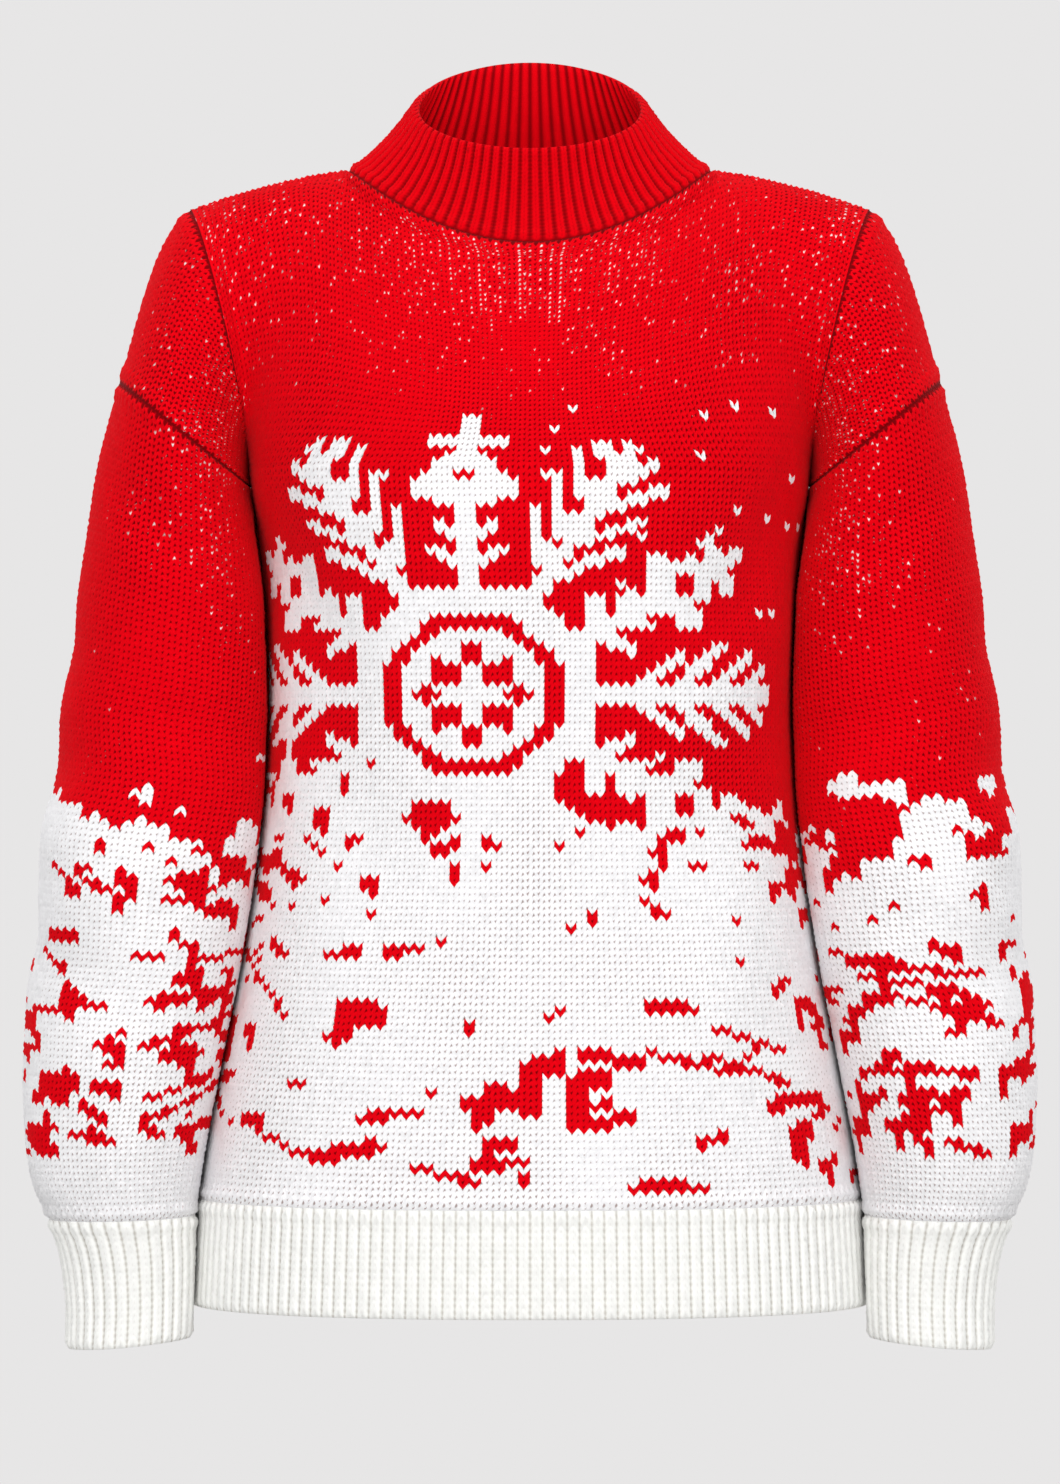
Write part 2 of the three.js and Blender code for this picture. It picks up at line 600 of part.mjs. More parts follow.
/** Half of the ribbed hem band, under the front or the back. */
function hemPiece(name, panel) {
  const seam = hemSeam(panel);
  const away = new Vector3(0, panel === 'front' ? -1 : 1, 0);
  const pairAt = (share, row) => {
    const u = 2 * share - 1;
    const t = row / HEM.rows;
    const pair = row === 0
      ? seam.rim(share, 'second')
      : wallPair(hemPoint(panel, u, t), panelNormal(panel, u, 0));
    return share === 0 || share === 1 ? pulledBack(pair, away) : pair;
  };
  const steps = (count, pick) => Array.from({ length: HEM.rows + 1 }, (_, row) => (
    Array.from({ length: count + 1 }, (_, i) => pick(pairAt(i / count, row), i, row, count))));
  const outer = steps(2 * HEM.ribs, (pair, i, row, count) => (
    row === 0 || i === 0 || i === count ? pair.outer : ribbed(pair, i)));
  const inner = steps(HEM.innerColumns, (pair) => pair.inner);
  return piece(name, wallGeometry(outer, inner, false), WHITE_RIB);
}

const sweater = new THREE.Group();
sweater.add(
  panelPiece('front'),
  panelPiece('back'),
  ribbedTube('collar', collarPoint, collarNormal, COLLAR, necklineSeam, RED_KNIT, false),
  hemPiece('hem_front', 'front'),
  hemPiece('hem_back', 'back'));
for (const [side, mirrored] of [['left', false], ['right', true]]) {
  sweater.add(
    tubePiece(`cap_${side}`, capPoint, capNormal, CAP_ROWS, armholeSeam, dropSeam,
      RED_KNIT, mirrored),
    tubePiece(`sleeve_${side}`, sleevePoint, sleeveNormal, SLEEVE_ROWS, dropSeam, cuffSeam,
      JACQUARD_KNIT, mirrored),
    ribbedTube(`cuff_${side}`, cuffPoint, cuffNormal, CUFF, cuffSeam, WHITE_RIB, mirrored));
}

export default sweater;
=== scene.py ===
"""A bulky knitted christmas pullover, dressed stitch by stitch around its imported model.

Every piece of cloth is a knitted wall: a grid laid on the garment's own surface, with two rows to
each course, and four columns to each wale of stocking stitch or six to each rib. The legs of its
stitches are raised. Lengths are in millimetres until a mesh is finished, and Blender holds metres.
"""

from __future__ import annotations

import logging
import math
from dataclasses import dataclass, field, replace
from enum import Enum
from typing import Callable

import bmesh
import bpy
import numpy as np
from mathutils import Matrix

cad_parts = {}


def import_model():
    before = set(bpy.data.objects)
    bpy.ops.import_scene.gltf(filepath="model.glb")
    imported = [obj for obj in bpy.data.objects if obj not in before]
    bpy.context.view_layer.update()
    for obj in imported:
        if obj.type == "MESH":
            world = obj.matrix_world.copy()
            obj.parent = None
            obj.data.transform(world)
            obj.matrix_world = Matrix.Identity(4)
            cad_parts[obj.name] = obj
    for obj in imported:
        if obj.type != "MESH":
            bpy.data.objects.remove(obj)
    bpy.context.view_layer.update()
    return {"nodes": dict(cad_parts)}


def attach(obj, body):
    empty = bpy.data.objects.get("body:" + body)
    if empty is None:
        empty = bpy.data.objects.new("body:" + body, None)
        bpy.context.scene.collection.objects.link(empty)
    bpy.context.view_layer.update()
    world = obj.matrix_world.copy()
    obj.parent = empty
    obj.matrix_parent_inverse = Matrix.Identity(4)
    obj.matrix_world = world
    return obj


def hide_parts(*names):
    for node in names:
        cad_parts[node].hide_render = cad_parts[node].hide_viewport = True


LOG = logging.getLogger("sweater")
Array = np.ndarray
Surface = Callable[[Array, Array], Array]
MM = 0.001
COLOUR_MIX = {"data_type": "RGBA"}


class Side(Enum):
    """The garment's own sides, with the sign of x on each."""

    LEFT = 1
    RIGHT = -1

    @property
    def word(self) -> str:
        """The side's name in lower case, as the nodes have it."""
        return self.name.lower()


class Panel(Enum):
    """The two panels of the body, with the sign of the way each faces along y."""

    FRONT = -1
    BACK = 1

    @property
    def word(self) -> str:
        """The panel's name in lower case, as the nodes have it."""
        return self.name.lower()


class Edge(Enum):
    """What a piece does at one of its edges."""

    SEAM = "seam"
    RIB_JOIN = "rib join"
    FREE = "free"


def smooth_step(low: float, high: float, value: Array) -> Array:
    """A soft step from 0 at low to 1 at high."""
    t = np.clip((value - low) / (high - low), 0.0, 1.0)
    return t * t * (3 - 2 * t)


def cubic_weights(t: Array) -> tuple[Array, Array, Array, Array]:
    """The weights of a cubic from point and tangent to point and tangent."""
    return (
        (1 + 2 * t) * (1 - t) ** 2,
        t * (1 - t) ** 2,
        t * t * (3 - 2 * t),
        t * t * (t - 1),
    )


def vectors(x: Array, y: Array, z: Array) -> Array:
    """Stacks three coordinates, brought to one shape, as points."""
    return np.stack(np.broadcast_arrays(x, y, z), axis=-1).astype(float)


@dataclass(frozen=True)
class Table:
    """A short table of named columns, read as smooth functions of its rising key column."""

    key: str
    columns: tuple[str, ...]
    rows: tuple[tuple[float, ...], ...]

    def at(self, column: str, place: Array) -> Array:
        """The smooth value of one column.

        Args:
            column: the column's name.
            place: where along the key column to read it.

        Returns:
            The values there, on cubics through the rows.
        """
        data = np.array(self.rows)
        keys = data[:, 0]
        values = data[:, 1 + self.columns.index(column)]
        last = len(keys) - 1
        low = np.maximum(np.arange(last + 1) - 1, 0)
        high = np.minimum(np.arange(last + 1) + 1, last)
        slopes = (values[high] - values[low]) / (keys[high] - keys[low])
        place = np.asarray(place, dtype=float)
        i = np.clip(np.searchsorted(keys, place, side="left") - 1, 0, last - 1)
        span = keys[i + 1] - keys[i]
        a, b, c, d = cubic_weights((place - keys[i]) / span)
        return (
            a * values[i] + b * span * slopes[i] + c * values[i + 1] + d * span * slopes[i + 1]
        )


@dataclass(frozen=True)
class Fold:
    """A soft fold: its middle, half its length and width, its turn in degrees, its height."""

    place: float
    z: float
    length: float
    width: float
    turn: float
    height: float

    def lift(self, along: Array, across: Array) -> Array:
        """How far the fold lifts the cloth at distances along and across from its middle."""
        turn = math.radians(self.turn)
        down = along * math.cos(turn) + across * math.sin(turn)
        aside = across * math.cos(turn) - along * math.sin(turn)
        return self.height * np.exp(-((down / self.length) ** 2) - (aside / self.width) ** 2)


@dataclass(frozen=True)
class Form:
    """The worn form of the sweater: the outer surfaces that its pieces share seams on.

    The sleeves and cuffs keep a gap from the side of the body, wide enough for the stitches of
    both. It narrows at the underarm, where the cloths are sewn together.
    """

    section_roundness: float = 0.87
    hem_edge_z: float = -606.0
    hem_join_z: float = -549.0
    underarm_z: float = -158.0
    neck_half_width: float = 98.0
    neck_y: float = 10.0
    neck_z: float = 5.0
    neck_reach: tuple[float, float] = (-68.0, 52.0)
    neck_rise: tuple[float, float] = (-43.0, 9.0)
    shoulder_x: float = 184.0
    shoulder_z: float = -16.0
    shoulder_power: float = 1.3
    neck_share: float = 6 / 13
    collar_half_width: float = 62.0
    collar_half_depth: float = 55.0
    collar_y: float = 9.0
    collar_z: float = 41.0
    collar_tilt: float = 28.0
    collar_bow: float = 2.5
    underarm_gap: float = 0.9
    side_gap: float = 2.9
    gap_widens: tuple[float, float] = (-170.0, -192.0)
    side_softness: float = 0.8
    fold_gain: float = 1.5
    fold_aside: float = 0.5
    fold_fade: float = 3 / 22
    seam_calm: int = 8
    body_share: float = 12 / 22
    yoke_ease: float = 0.2
    ease_sides: tuple[float, float] = (1.0, 0.8)
    ease_from: tuple[float, float] = (0.6, 0.75)
    ease_until: tuple[float, float] = (1.0, 0.93)
    ease_steps: int = 7
    ease_taper: float = 2.6
    cap_lift: tuple[float, float, float] = (22.0, 0.0, 59.0)
    cap_settle: tuple[float, float, float] = (-13.0, 0.0, 14.0)
    torso: Table = Table(
        "z",
        ("half_width", "front", "side", "back"),
        (
            (-606, 183, -118, -2, 114),
            (-549, 179, -116, -2, 111),
            (-486, 169, -111, -1, 103),
            (-422, 156, -106, 0, 95),
            (-360, 146, -103, 1, 89),
            (-300, 141, -104, 2, 88),
            (-240, 141.5, -108, 3, 92),
            (-190, 146.8, -111, 4, 96),
            (-158, 151.4, -109, 5, 98),
        ),
    )
    yoke: Table = Table(
        "u",
        ("start_y", "start_z", "end_x", "end_y", "end_z"),
        (
            (0, 14, 130, 0, 75, 100),
            (0.25, 12, 140, -25, 85, 80),
            (0.46, 8, 155, -75, 110, 25),
            (0.65, 0, 165, -15, 135, 5),
            (0.85, -40, 160, 0, 155, 5),
            (1, -190, 120, 30, 190, 40),
        ),
    )
    sleeve: Table = Table(
        "step",
        ("outer_x", "outer_z", "inner_x", "inner_z", "half_depth", "y"),
        (
            (0, 222, -110, 151.4, -166, 67, 8),
            (1, 233, -152, 144, -196, 66, 5),
            (2, 240, -198, 138, -232, 65, 2),
            (3, 248, -248, 136, -272, 64, -1),
            (4, 255, -300, 136.5, -316, 63, -5),
            (5, 261, -350, 141, -360, 62, -9),
            (6, 265.5, -398, 148.5, -404, 60, -14),
            (7, 269.5, -442, 157, -446, 58, -18),
            (8, 272, -482, 165, -484, 56, -22),
            (9, 271.5, -516, 172, -516, 52, -26),
            (10, 267, -541, 176, -539, 46, -29),
            (11, 257.5, -559, 179, -557, 40, -31),
        ),
    )
    cuff: Table = Table(
        "step",
        ("outer_x", "outer_z", "inner_x", "inner_z", "half_depth", "y"),
        (
            (0, 257.5, -559, 179, -557, 40, -31),
            (1, 251, -580, 178.5, -577, 35.5, -32),
            (2, 248, -604, 179, -600, 33.5, -33),
            (3, 248, -628, 180, -622, 34.5, -34),
        ),
    )
    panel_folds: tuple[tuple[Panel, Fold], ...] = (
        (Panel.FRONT, Fold(128, -205, 62, 20, 24, -4)),
        (Panel.FRONT, Fold(-130, -212, 58, 20, -28, -4.5)),
        (Panel.FRONT, Fold(112, -262, 70, 24, 34, 2.5)),
        (Panel.FRONT, Fold(-96, -330, 80, 28, -18, -2.5)),
        (Panel.FRONT, Fold(105, -420, 90, 30, 14, 3)),
        (Panel.FRONT, Fold(148, -172, 20, 8, 0, 2.6)),
        (Panel.FRONT, Fold(-148, -172, 20, 8, 0, 2.6)),
        (Panel.BACK, Fold(148, -172, 20, 8, 0, 3)),
        (Panel.BACK, Fold(-148, -172, 20, 8, 0, 3)),
        (Panel.BACK, Fold(110, -190, 80, 24, 28, -4)),
        (Panel.BACK, Fold(-104, -204, 76, 24, -24, -3.5)),
        (Panel.BACK, Fold(24, -318, 44, 30, 78, 4)),
        (Panel.BACK, Fold(-40, -372, 50, 28, 98, -4)),
        (Panel.BACK, Fold(70, -450, 90, 32, 10, 3.5)),
    )
    sleeve_folds: tuple[Fold, ...] = (
        Fold(128, -172, 46, 15, 42, -3.5),
        Fold(104, -214, 52, 17, 46, 3),
        Fold(78, -244, 46, 16, 40, -3),
        Fold(158, -318, 40, 22, -12, -3),
        Fold(138, -356, 48, 22, 14, 3),
        Fold(246, -330, 46, 20, -20, -3.5),
        Fold(262, -220, 54, 18, -38, -3.5),
        Fold(118, -430, 44, 20, 20, -3),
        Fold(232, -446, 48, 20, -16, 3),
        Fold(96, -190, 40, 13, 58, -2.5),
        Fold(72, -296, 60, 16, 12, -2.5),
        Fold(112, -386, 46, 15, -24, 2),
        Fold(188, -250, 70, 20, 8, -2.5),
        Fold(205, -400, 46, 16, 18, -2.5),
    )
    gather_count: int = 5
    gather_height: float = 2.2
    gather_from: float = 8.0

    def neckline(self, panel: Panel, angle: Array) -> Array:
        """The neckline of a panel, from its middle at angle 0 to the shoulder seam at 90."""
        which = 0 if panel is Panel.FRONT else 1
        forward = np.cos(angle)
        return vectors(
            self.neck_half_width * np.sin(angle),
            self.neck_y + self.neck_reach[which] * forward,
            self.neck_z + self.neck_rise[which] * forward**2,
        )

    def torso_point(self, panel: Panel, u: Array, z: Array) -> Array:
        """A point of a level body section, with u -1 and 1 at the side seams."""
        angle = u * math.pi / 2
        across = np.sign(u) * np.abs(np.sin(angle)) ** self.section_roundness
        outward = np.maximum(np.cos(angle), 0) ** self.section_roundness
        side = self.torso.at("side", z)
        depth = self.torso.at(panel.word, z)
        return vectors(
            self.torso.at("half_width", z) * across, side + (depth - side) * outward, z
        )

    def top_edge(self, panel: Panel, u: Array) -> Array:
        """The top of a panel: the neckline in the middle, a shoulder seam on each side."""
        reach = np.abs(u)
        neck = self.neckline(panel, np.clip(u / self.neck_share, -1, 1) * math.pi / 2)
        out = np.clip((reach - self.neck_share) / (1 - self.neck_share), 0, 1)
        seam = vectors(
            np.sign(u) * (self.neck_half_width + (self.shoulder_x - self.neck_half_width) * out),
            np.full_like(out, self.neck_y),
            self.neck_z + (self.shoulder_z - self.neck_z) * out**self.shoulder_power,
        )
        return np.where((reach <= self.neck_share)[..., None], neck, seam)

    def yoke_point(self, panel: Panel, u: Array, t: Array) -> Array:
        """The yoke of a panel, from the level of the underarm to its top edge."""
        inward = -panel.value
        reach = np.abs(u)
        zero = np.zeros_like(reach)
        leaving = vectors(
            zero, inward * self.yoke.at("start_y", reach), self.yoke.at("start_z", reach)
        )
        reaching = vectors(
            np.sign(u) * self.yoke.at("end_x", reach),
            inward * self.yoke.at("end_y", reach),
            self.yoke.at("end_z", reach),
        )
        foot = self.torso_point(panel, u, np.full_like(reach, self.underarm_z))
        a, b, c, d = (weight[..., None] for weight in cubic_weights(t))
        return a * foot + b * leaving + c * self.top_edge(panel, u) + d * reaching

    def panel_point(self, panel: Panel, u: Array, height: Array) -> Array:
        """The outer surface of a panel.

        Args:
            panel: which of the two.
            u: from -1 to 1 across it.
            height: from 0 at the hem join to 1 at the top edge.

        Returns:
            The points, with the panel's soft folds.
        """
        u, height = np.broadcast_arrays(np.asarray(u, float), np.asarray(height, float))
        body = np.clip(height / self.body_share, 0, 1)
        level = self.hem_join_z + (self.underarm_z - self.hem_join_z) * body
        t = np.clip((height - self.body_share) / (1 - self.body_share), 0, 1)
        low = (height <= self.body_share)[..., None]
        point = np.where(
            low, self.torso_point(panel, u, level), self.yoke_point(panel, u, t)
        )
        inside = (1 - u**self.seam_calm) * np.clip(height / self.fold_fade, 0, 1)
        outward = vectors(point[..., 0] * self.fold_aside, point[..., 1], np.zeros_like(u))
        outward /= np.linalg.norm(outward, axis=-1, keepdims=True)
        lift = sum(
            fold.lift(point[..., 2] - fold.z, point[..., 0] - fold.place)
            for where, fold in self.panel_folds
            if where is panel
        )
        return point + outward * (self.fold_gain * lift * inside)[..., None]

    def soft_panel_point(self, panel: Panel, u: Array, height: Array) -> Array:
        """The panel's surface with its yoke eased sideways, so that no crease runs down it."""
        u, height = np.broadcast_arrays(np.asarray(u, float), np.asarray(height, float))
        room = smooth_step(*self.ease_sides, np.abs(u)) * smooth_step(*self.ease_from, height)
        spread = self.yoke_ease * room * smooth_step(*self.ease_until, height)
        steps = np.linspace(-1, 1, self.ease_steps)
        weights = np.cos(steps * math.pi / self.ease_taper)
        return sum(
            weight / weights.sum() * self.panel_point(panel, u + step * spread, height)
            for step, weight in zip(steps, weights)
        )

    def body_reach(self, y: Array, z: Array) -> Array:
        """How far the side of the body reaches at a place before or behind the middle."""
        level = np.clip(z, self.hem_edge_z, self.underarm_z)
        side = self.torso.at("side", level)
        depth = np.where(
            y < side, self.torso.at("front", level), self.torso.at("back", level)
        )
        outward = np.clip((y - side) / (depth - side), 0, 1) ** (2 / self.section_roundness)
        return self.torso.at("half_width", level) * (1 - outward) ** (
            self.section_roundness / 2
        )

    def side_swell(self, reach: Array, y: Array, z: Array) -> Array:
        """How far the panels' folds swell the body beside a sleeve, on the side they do more.

        Args:
            reach: how far the plain body reaches there.
            y: the place before or behind the middle.
            z: the height.

        Returns:
            The swelling, never below 0, for a sleeve that is mirrored from side to side.
        """
        level = np.clip(z, self.hem_edge_z, self.underarm_z)
        share = np.clip(reach / self.torso.at("half_width", level), 0, 1)
        u = np.arcsin(share ** (1 / self.section_roundness)) * 2 / math.pi
        facing = {
            Panel.FRONT: y < self.torso.at("side", level),
            Panel.BACK: y >= self.torso.at("side", level),
        }
        swells = [
            sum(
                facing[panel] * fold.lift(z - fold.z, side.value * reach - fold.place)
                for panel, fold in self.panel_folds
            )
            for side in Side
        ]
        return self.fold_gain * np.maximum(np.maximum(*swells), 0) * (1 - u**self.seam_calm)

    def beside_body(self, point: Array) -> Array:
        """Moves points of the left sleeve out from the side of the body they lie against."""
        y, z = point[..., 1], point[..., 2]
        reach = self.body_reach(y, z)
        free = smooth_step(*self.gap_widens, z)
        gap = self.underarm_gap + (self.side_gap - self.underarm_gap) * free
        limit = reach + gap + self.side_swell(reach, y, z) * free
        beyond = point[..., 0] - limit
        moved = point.copy()
        moved[..., 0] = limit + (beyond + np.hypot(beyond, self.side_softness)) / 2
        return moved

    def ring_point(self, table: Table, step: Array, angle: Array, lift: Array) -> Array:
        """A point of a sleeve or cuff ring, with angle 0 on the inner line and 90 in front."""
        outer = vectors(*(table.at(name, step) for name in ("outer_x", "y", "outer_z")))
        inner = vectors(*(table.at(name, step) for name in ("inner_x", "y", "inner_z")))
        half_depth = table.at("half_depth", step)
        swell = 1 + lift / half_depth
        middle = (outer + inner) / 2
        point = middle + (outer - middle) * (-np.cos(angle) * swell)[..., None]
        point[..., 1] -= half_depth * np.sin(angle) * swell
        return point

    def sleeve_point(self, angle: Array, t: Array) -> Array:
        """The left sleeve's outer surface, from the drop seam at t = 0 to the cuff at t = 1."""
        angle, t = np.broadcast_arrays(np.asarray(angle, float), np.asarray(t, float))
        last = self.sleeve.rows[-1][0]
        step = t * last
        plain = self.ring_point(self.sleeve, step, angle, np.zeros_like(step))
        half_depth = self.sleeve.at("half_depth", step)
        degrees = np.degrees(angle)
        folds = sum(
            fold.lift(np.radians(degrees - fold.place) * half_depth, plain[..., 2] - fold.z)
            for fold in self.sleeve_folds
        )
        gathered = np.clip((step - self.gather_from) / (last - self.gather_from), 0, 1)
        gathers = (
            self.gather_height
            * np.sin(math.pi * gathered)
            * np.cos(self.gather_count * angle)
            * np.sin(angle / 2) ** 2
        )
        lift = self.fold_gain * folds * np.sqrt(np.clip(np.sin(math.pi * t), 0, 1)) + gathers
        return self.beside_body(self.ring_point(self.sleeve, step, angle, lift))

    def cuff_point(self, angle: Array, t: Array) -> Array:
        """The left cuff's outer surface, from its seam at t = 0 to its free edge at t = 1."""
        angle, t = np.broadcast_arrays(np.asarray(angle, float), np.asarray(t, float))
        step = t * self.cuff.rows[-1][0]
        return self.beside_body(self.ring_point(self.cuff, step, angle, np.zeros_like(step)))

    def armhole_point(self, angle: Array) -> Array:
        """The left armhole: up the front from the underarm, over, and down the back."""
        share = np.mod(angle / math.pi, 2)
        yoke = 1 - self.body_share
        one = np.ones_like(share)
        front = self.panel_point(Panel.FRONT, one, self.body_share + yoke * np.clip(share, 0, 1))
        back = self.panel_point(
            Panel.BACK, one, self.body_share + yoke * np.clip(2 - share, 0, 1)
        )
        return np.where((share <= 1)[..., None], front, back)

    def cap_point(self, angle: Array, t: Array) -> Array:
        """The cap over the left shoulder, from the armhole at t = 0 to the drop seam at 1."""
        angle, t = np.broadcast_arrays(np.asarray(angle, float), np.asarray(t, float))
        start = self.armhole_point(angle)
        end = self.sleeve_point(angle, np.zeros_like(angle))
        run = end - start
        top = ((1 - np.cos(angle)) / 2)[..., None]
        a, b, c, d = (weight[..., None] for weight in cubic_weights(t))
        return (
            a * start
            + b * (run + top * np.array(self.cap_lift))
            + c * end
            + d * (run + top * np.array(self.cap_settle))
        )

    def collar_point(self, angle: Array, t: Array) -> Array:
        """The collar's outer surface, from the neckline at t = 0 to the free edge at t = 1."""
        angle, t = np.broadcast_arrays(np.asarray(angle, float), np.asarray(t, float))
        forward = np.cos(angle)
        foot = np.where(
            (forward >= 0)[..., None],
            self.neckline(Panel.FRONT, angle),
            self.neckline(Panel.BACK, math.pi - angle),
        )
        top = vectors(
            self.collar_half_width * np.sin(angle),
            self.collar_y - self.collar_half_depth * forward,
            self.collar_z - self.collar_tilt * forward,
        )
        inward = vectors(-np.sin(angle), forward, np.zeros_like(angle))
        bow = (self.collar_bow * np.sin(math.pi * t))[..., None]
        return foot + (top - foot) * t[..., None] + inward * bow

    def hem_point(self, panel: Panel, u: Array, t: Array) -> Array:
        """Half of the hem band, from the hem join at t = 0 to its free edge at t = 1."""
        u, t = np.broadcast_arrays(np.asarray(u, float), np.asarray(t, float))
        return self.torso_point(
            panel, u, self.hem_join_z + (self.hem_edge_z - self.hem_join_z) * t
        )


@dataclass(frozen=True)
class Stitch:
    """How one stitch stands on the cloth, column by column from its left gutter.

    Heights are in millimetres on the line of its legs and on the line between two courses. The
    skew says how far each column's yarn runs ahead, in courses, and the hollows how deep in
    shade each point lies, from 0 to 1, with those of the inner side last.
    """

    leg: tuple[float, ...]
    between: tuple[float, ...]
    skew: tuple[float, ...]
    leg_hollow: tuple[float, ...]
    between_hollow: tuple[float, ...]
    inner_hollow: tuple[float, ...]

    @property
    def columns(self) -> int:
        """How many columns of the grid one wale takes."""
        return len(self.leg)

    def on_lattice(self, leg: tuple[float, ...], between: tuple[float, ...], col: Array,
                   row: Array) -> Array:
        """Spreads a pair of per-column values over columns and rows of the grid."""
        kind = col % self.columns
        return np.where(row % 2 == 0, np.array(leg)[kind], np.array(between)[kind])


STOCKING = Stitch(
    leg=(-0.2, 0.6, -0.2, 0.6),
    between=(-1.1, 0.25, -1.1, 0.25),
    skew=(0.5, 0.0, -0.5, 0.0),
    leg_hollow=(0.0, 0.0, 0.0, 0.0),
    between_hollow=(1.0, 0.0, 1.0, 0.0),
    inner_hollow=(0.0, 0.0, 0.0, 0.0),
)
RIB = Stitch(
    leg=(-1.3, 0.0, 0.95, 0.5, 0.95, 0.0),
    between=(-1.6, -0.3, 0.75, 0.1, 0.75, -0.3),
    skew=(0.5, 0.4, 0.0, -0.5, 0.0, 0.4),
    leg_hollow=(0.7, 0.15, 0.0, 0.25, 0.0, 0.15),
    between_hollow=(1.0, 0.35, 0.0, 0.5, 0.0, 0.35),
    inner_hollow=(0.0, 0.1, 0.6, 1.0, 0.6, 0.1),
)
DEEP_RIB = replace(
    RIB,
    leg=(-1.4, -0.7, 0.95, 0.3, 0.95, -0.7),
    between=(-1.7, -1.0, 0.7, -0.1, 0.7, -1.0),
    leg_hollow=(0.8, 0.5, 0.0, 0.3, 0.0, 0.5),
    between_hollow=(1.0, 0.7, 0.0, 0.5, 0.0, 0.7),
)


@dataclass
class Stitches:
    """What each stitch of a piece shows: arrays with a row for a course, a column for a wale.

    White is 1 where the stitch is white, peek how likely white yarn carried behind shows
    through its holes, and hole_shade how far its holes are pulled open, as the strength of the
    painted shade in them.
    """

    white: Array
    peek: Array
    hole_shade: Array


@dataclass
class Chart:
    """Where each stitch of a piece lies: millimetres across from the middle and along."""

    across: Array
    along: Array
    width: float
    height: float
    wale: float
    course: float
    draw: np.random.Generator
    noise_size: int = 64
    noise_start: int = 20

    def noise(self, cell: tuple[float, float]) -> Array:
        """Smooth noise from 0 to 1 over the cloth, with cells of a given width and height."""
        size = self.noise_size
        values = self.draw.random((size, size))
        x = self.across / cell[0] + self.noise_start
        y = self.along / cell[1] + self.noise_start
        i = np.floor(x).astype(int)
        j = np.floor(y).astype(int)
        fx = smooth_step(0, 1, x - i)
        fy = smooth_step(0, 1, y - j)
        near = values[i % size, j % size] * (1 - fx) + values[(i + 1) % size, j % size] * fx
        far = (
            values[i % size, (j + 1) % size] * (1 - fx)
            + values[(i + 1) % size, (j + 1) % size] * fx
        )
        return near * (1 - fy) + far * fy


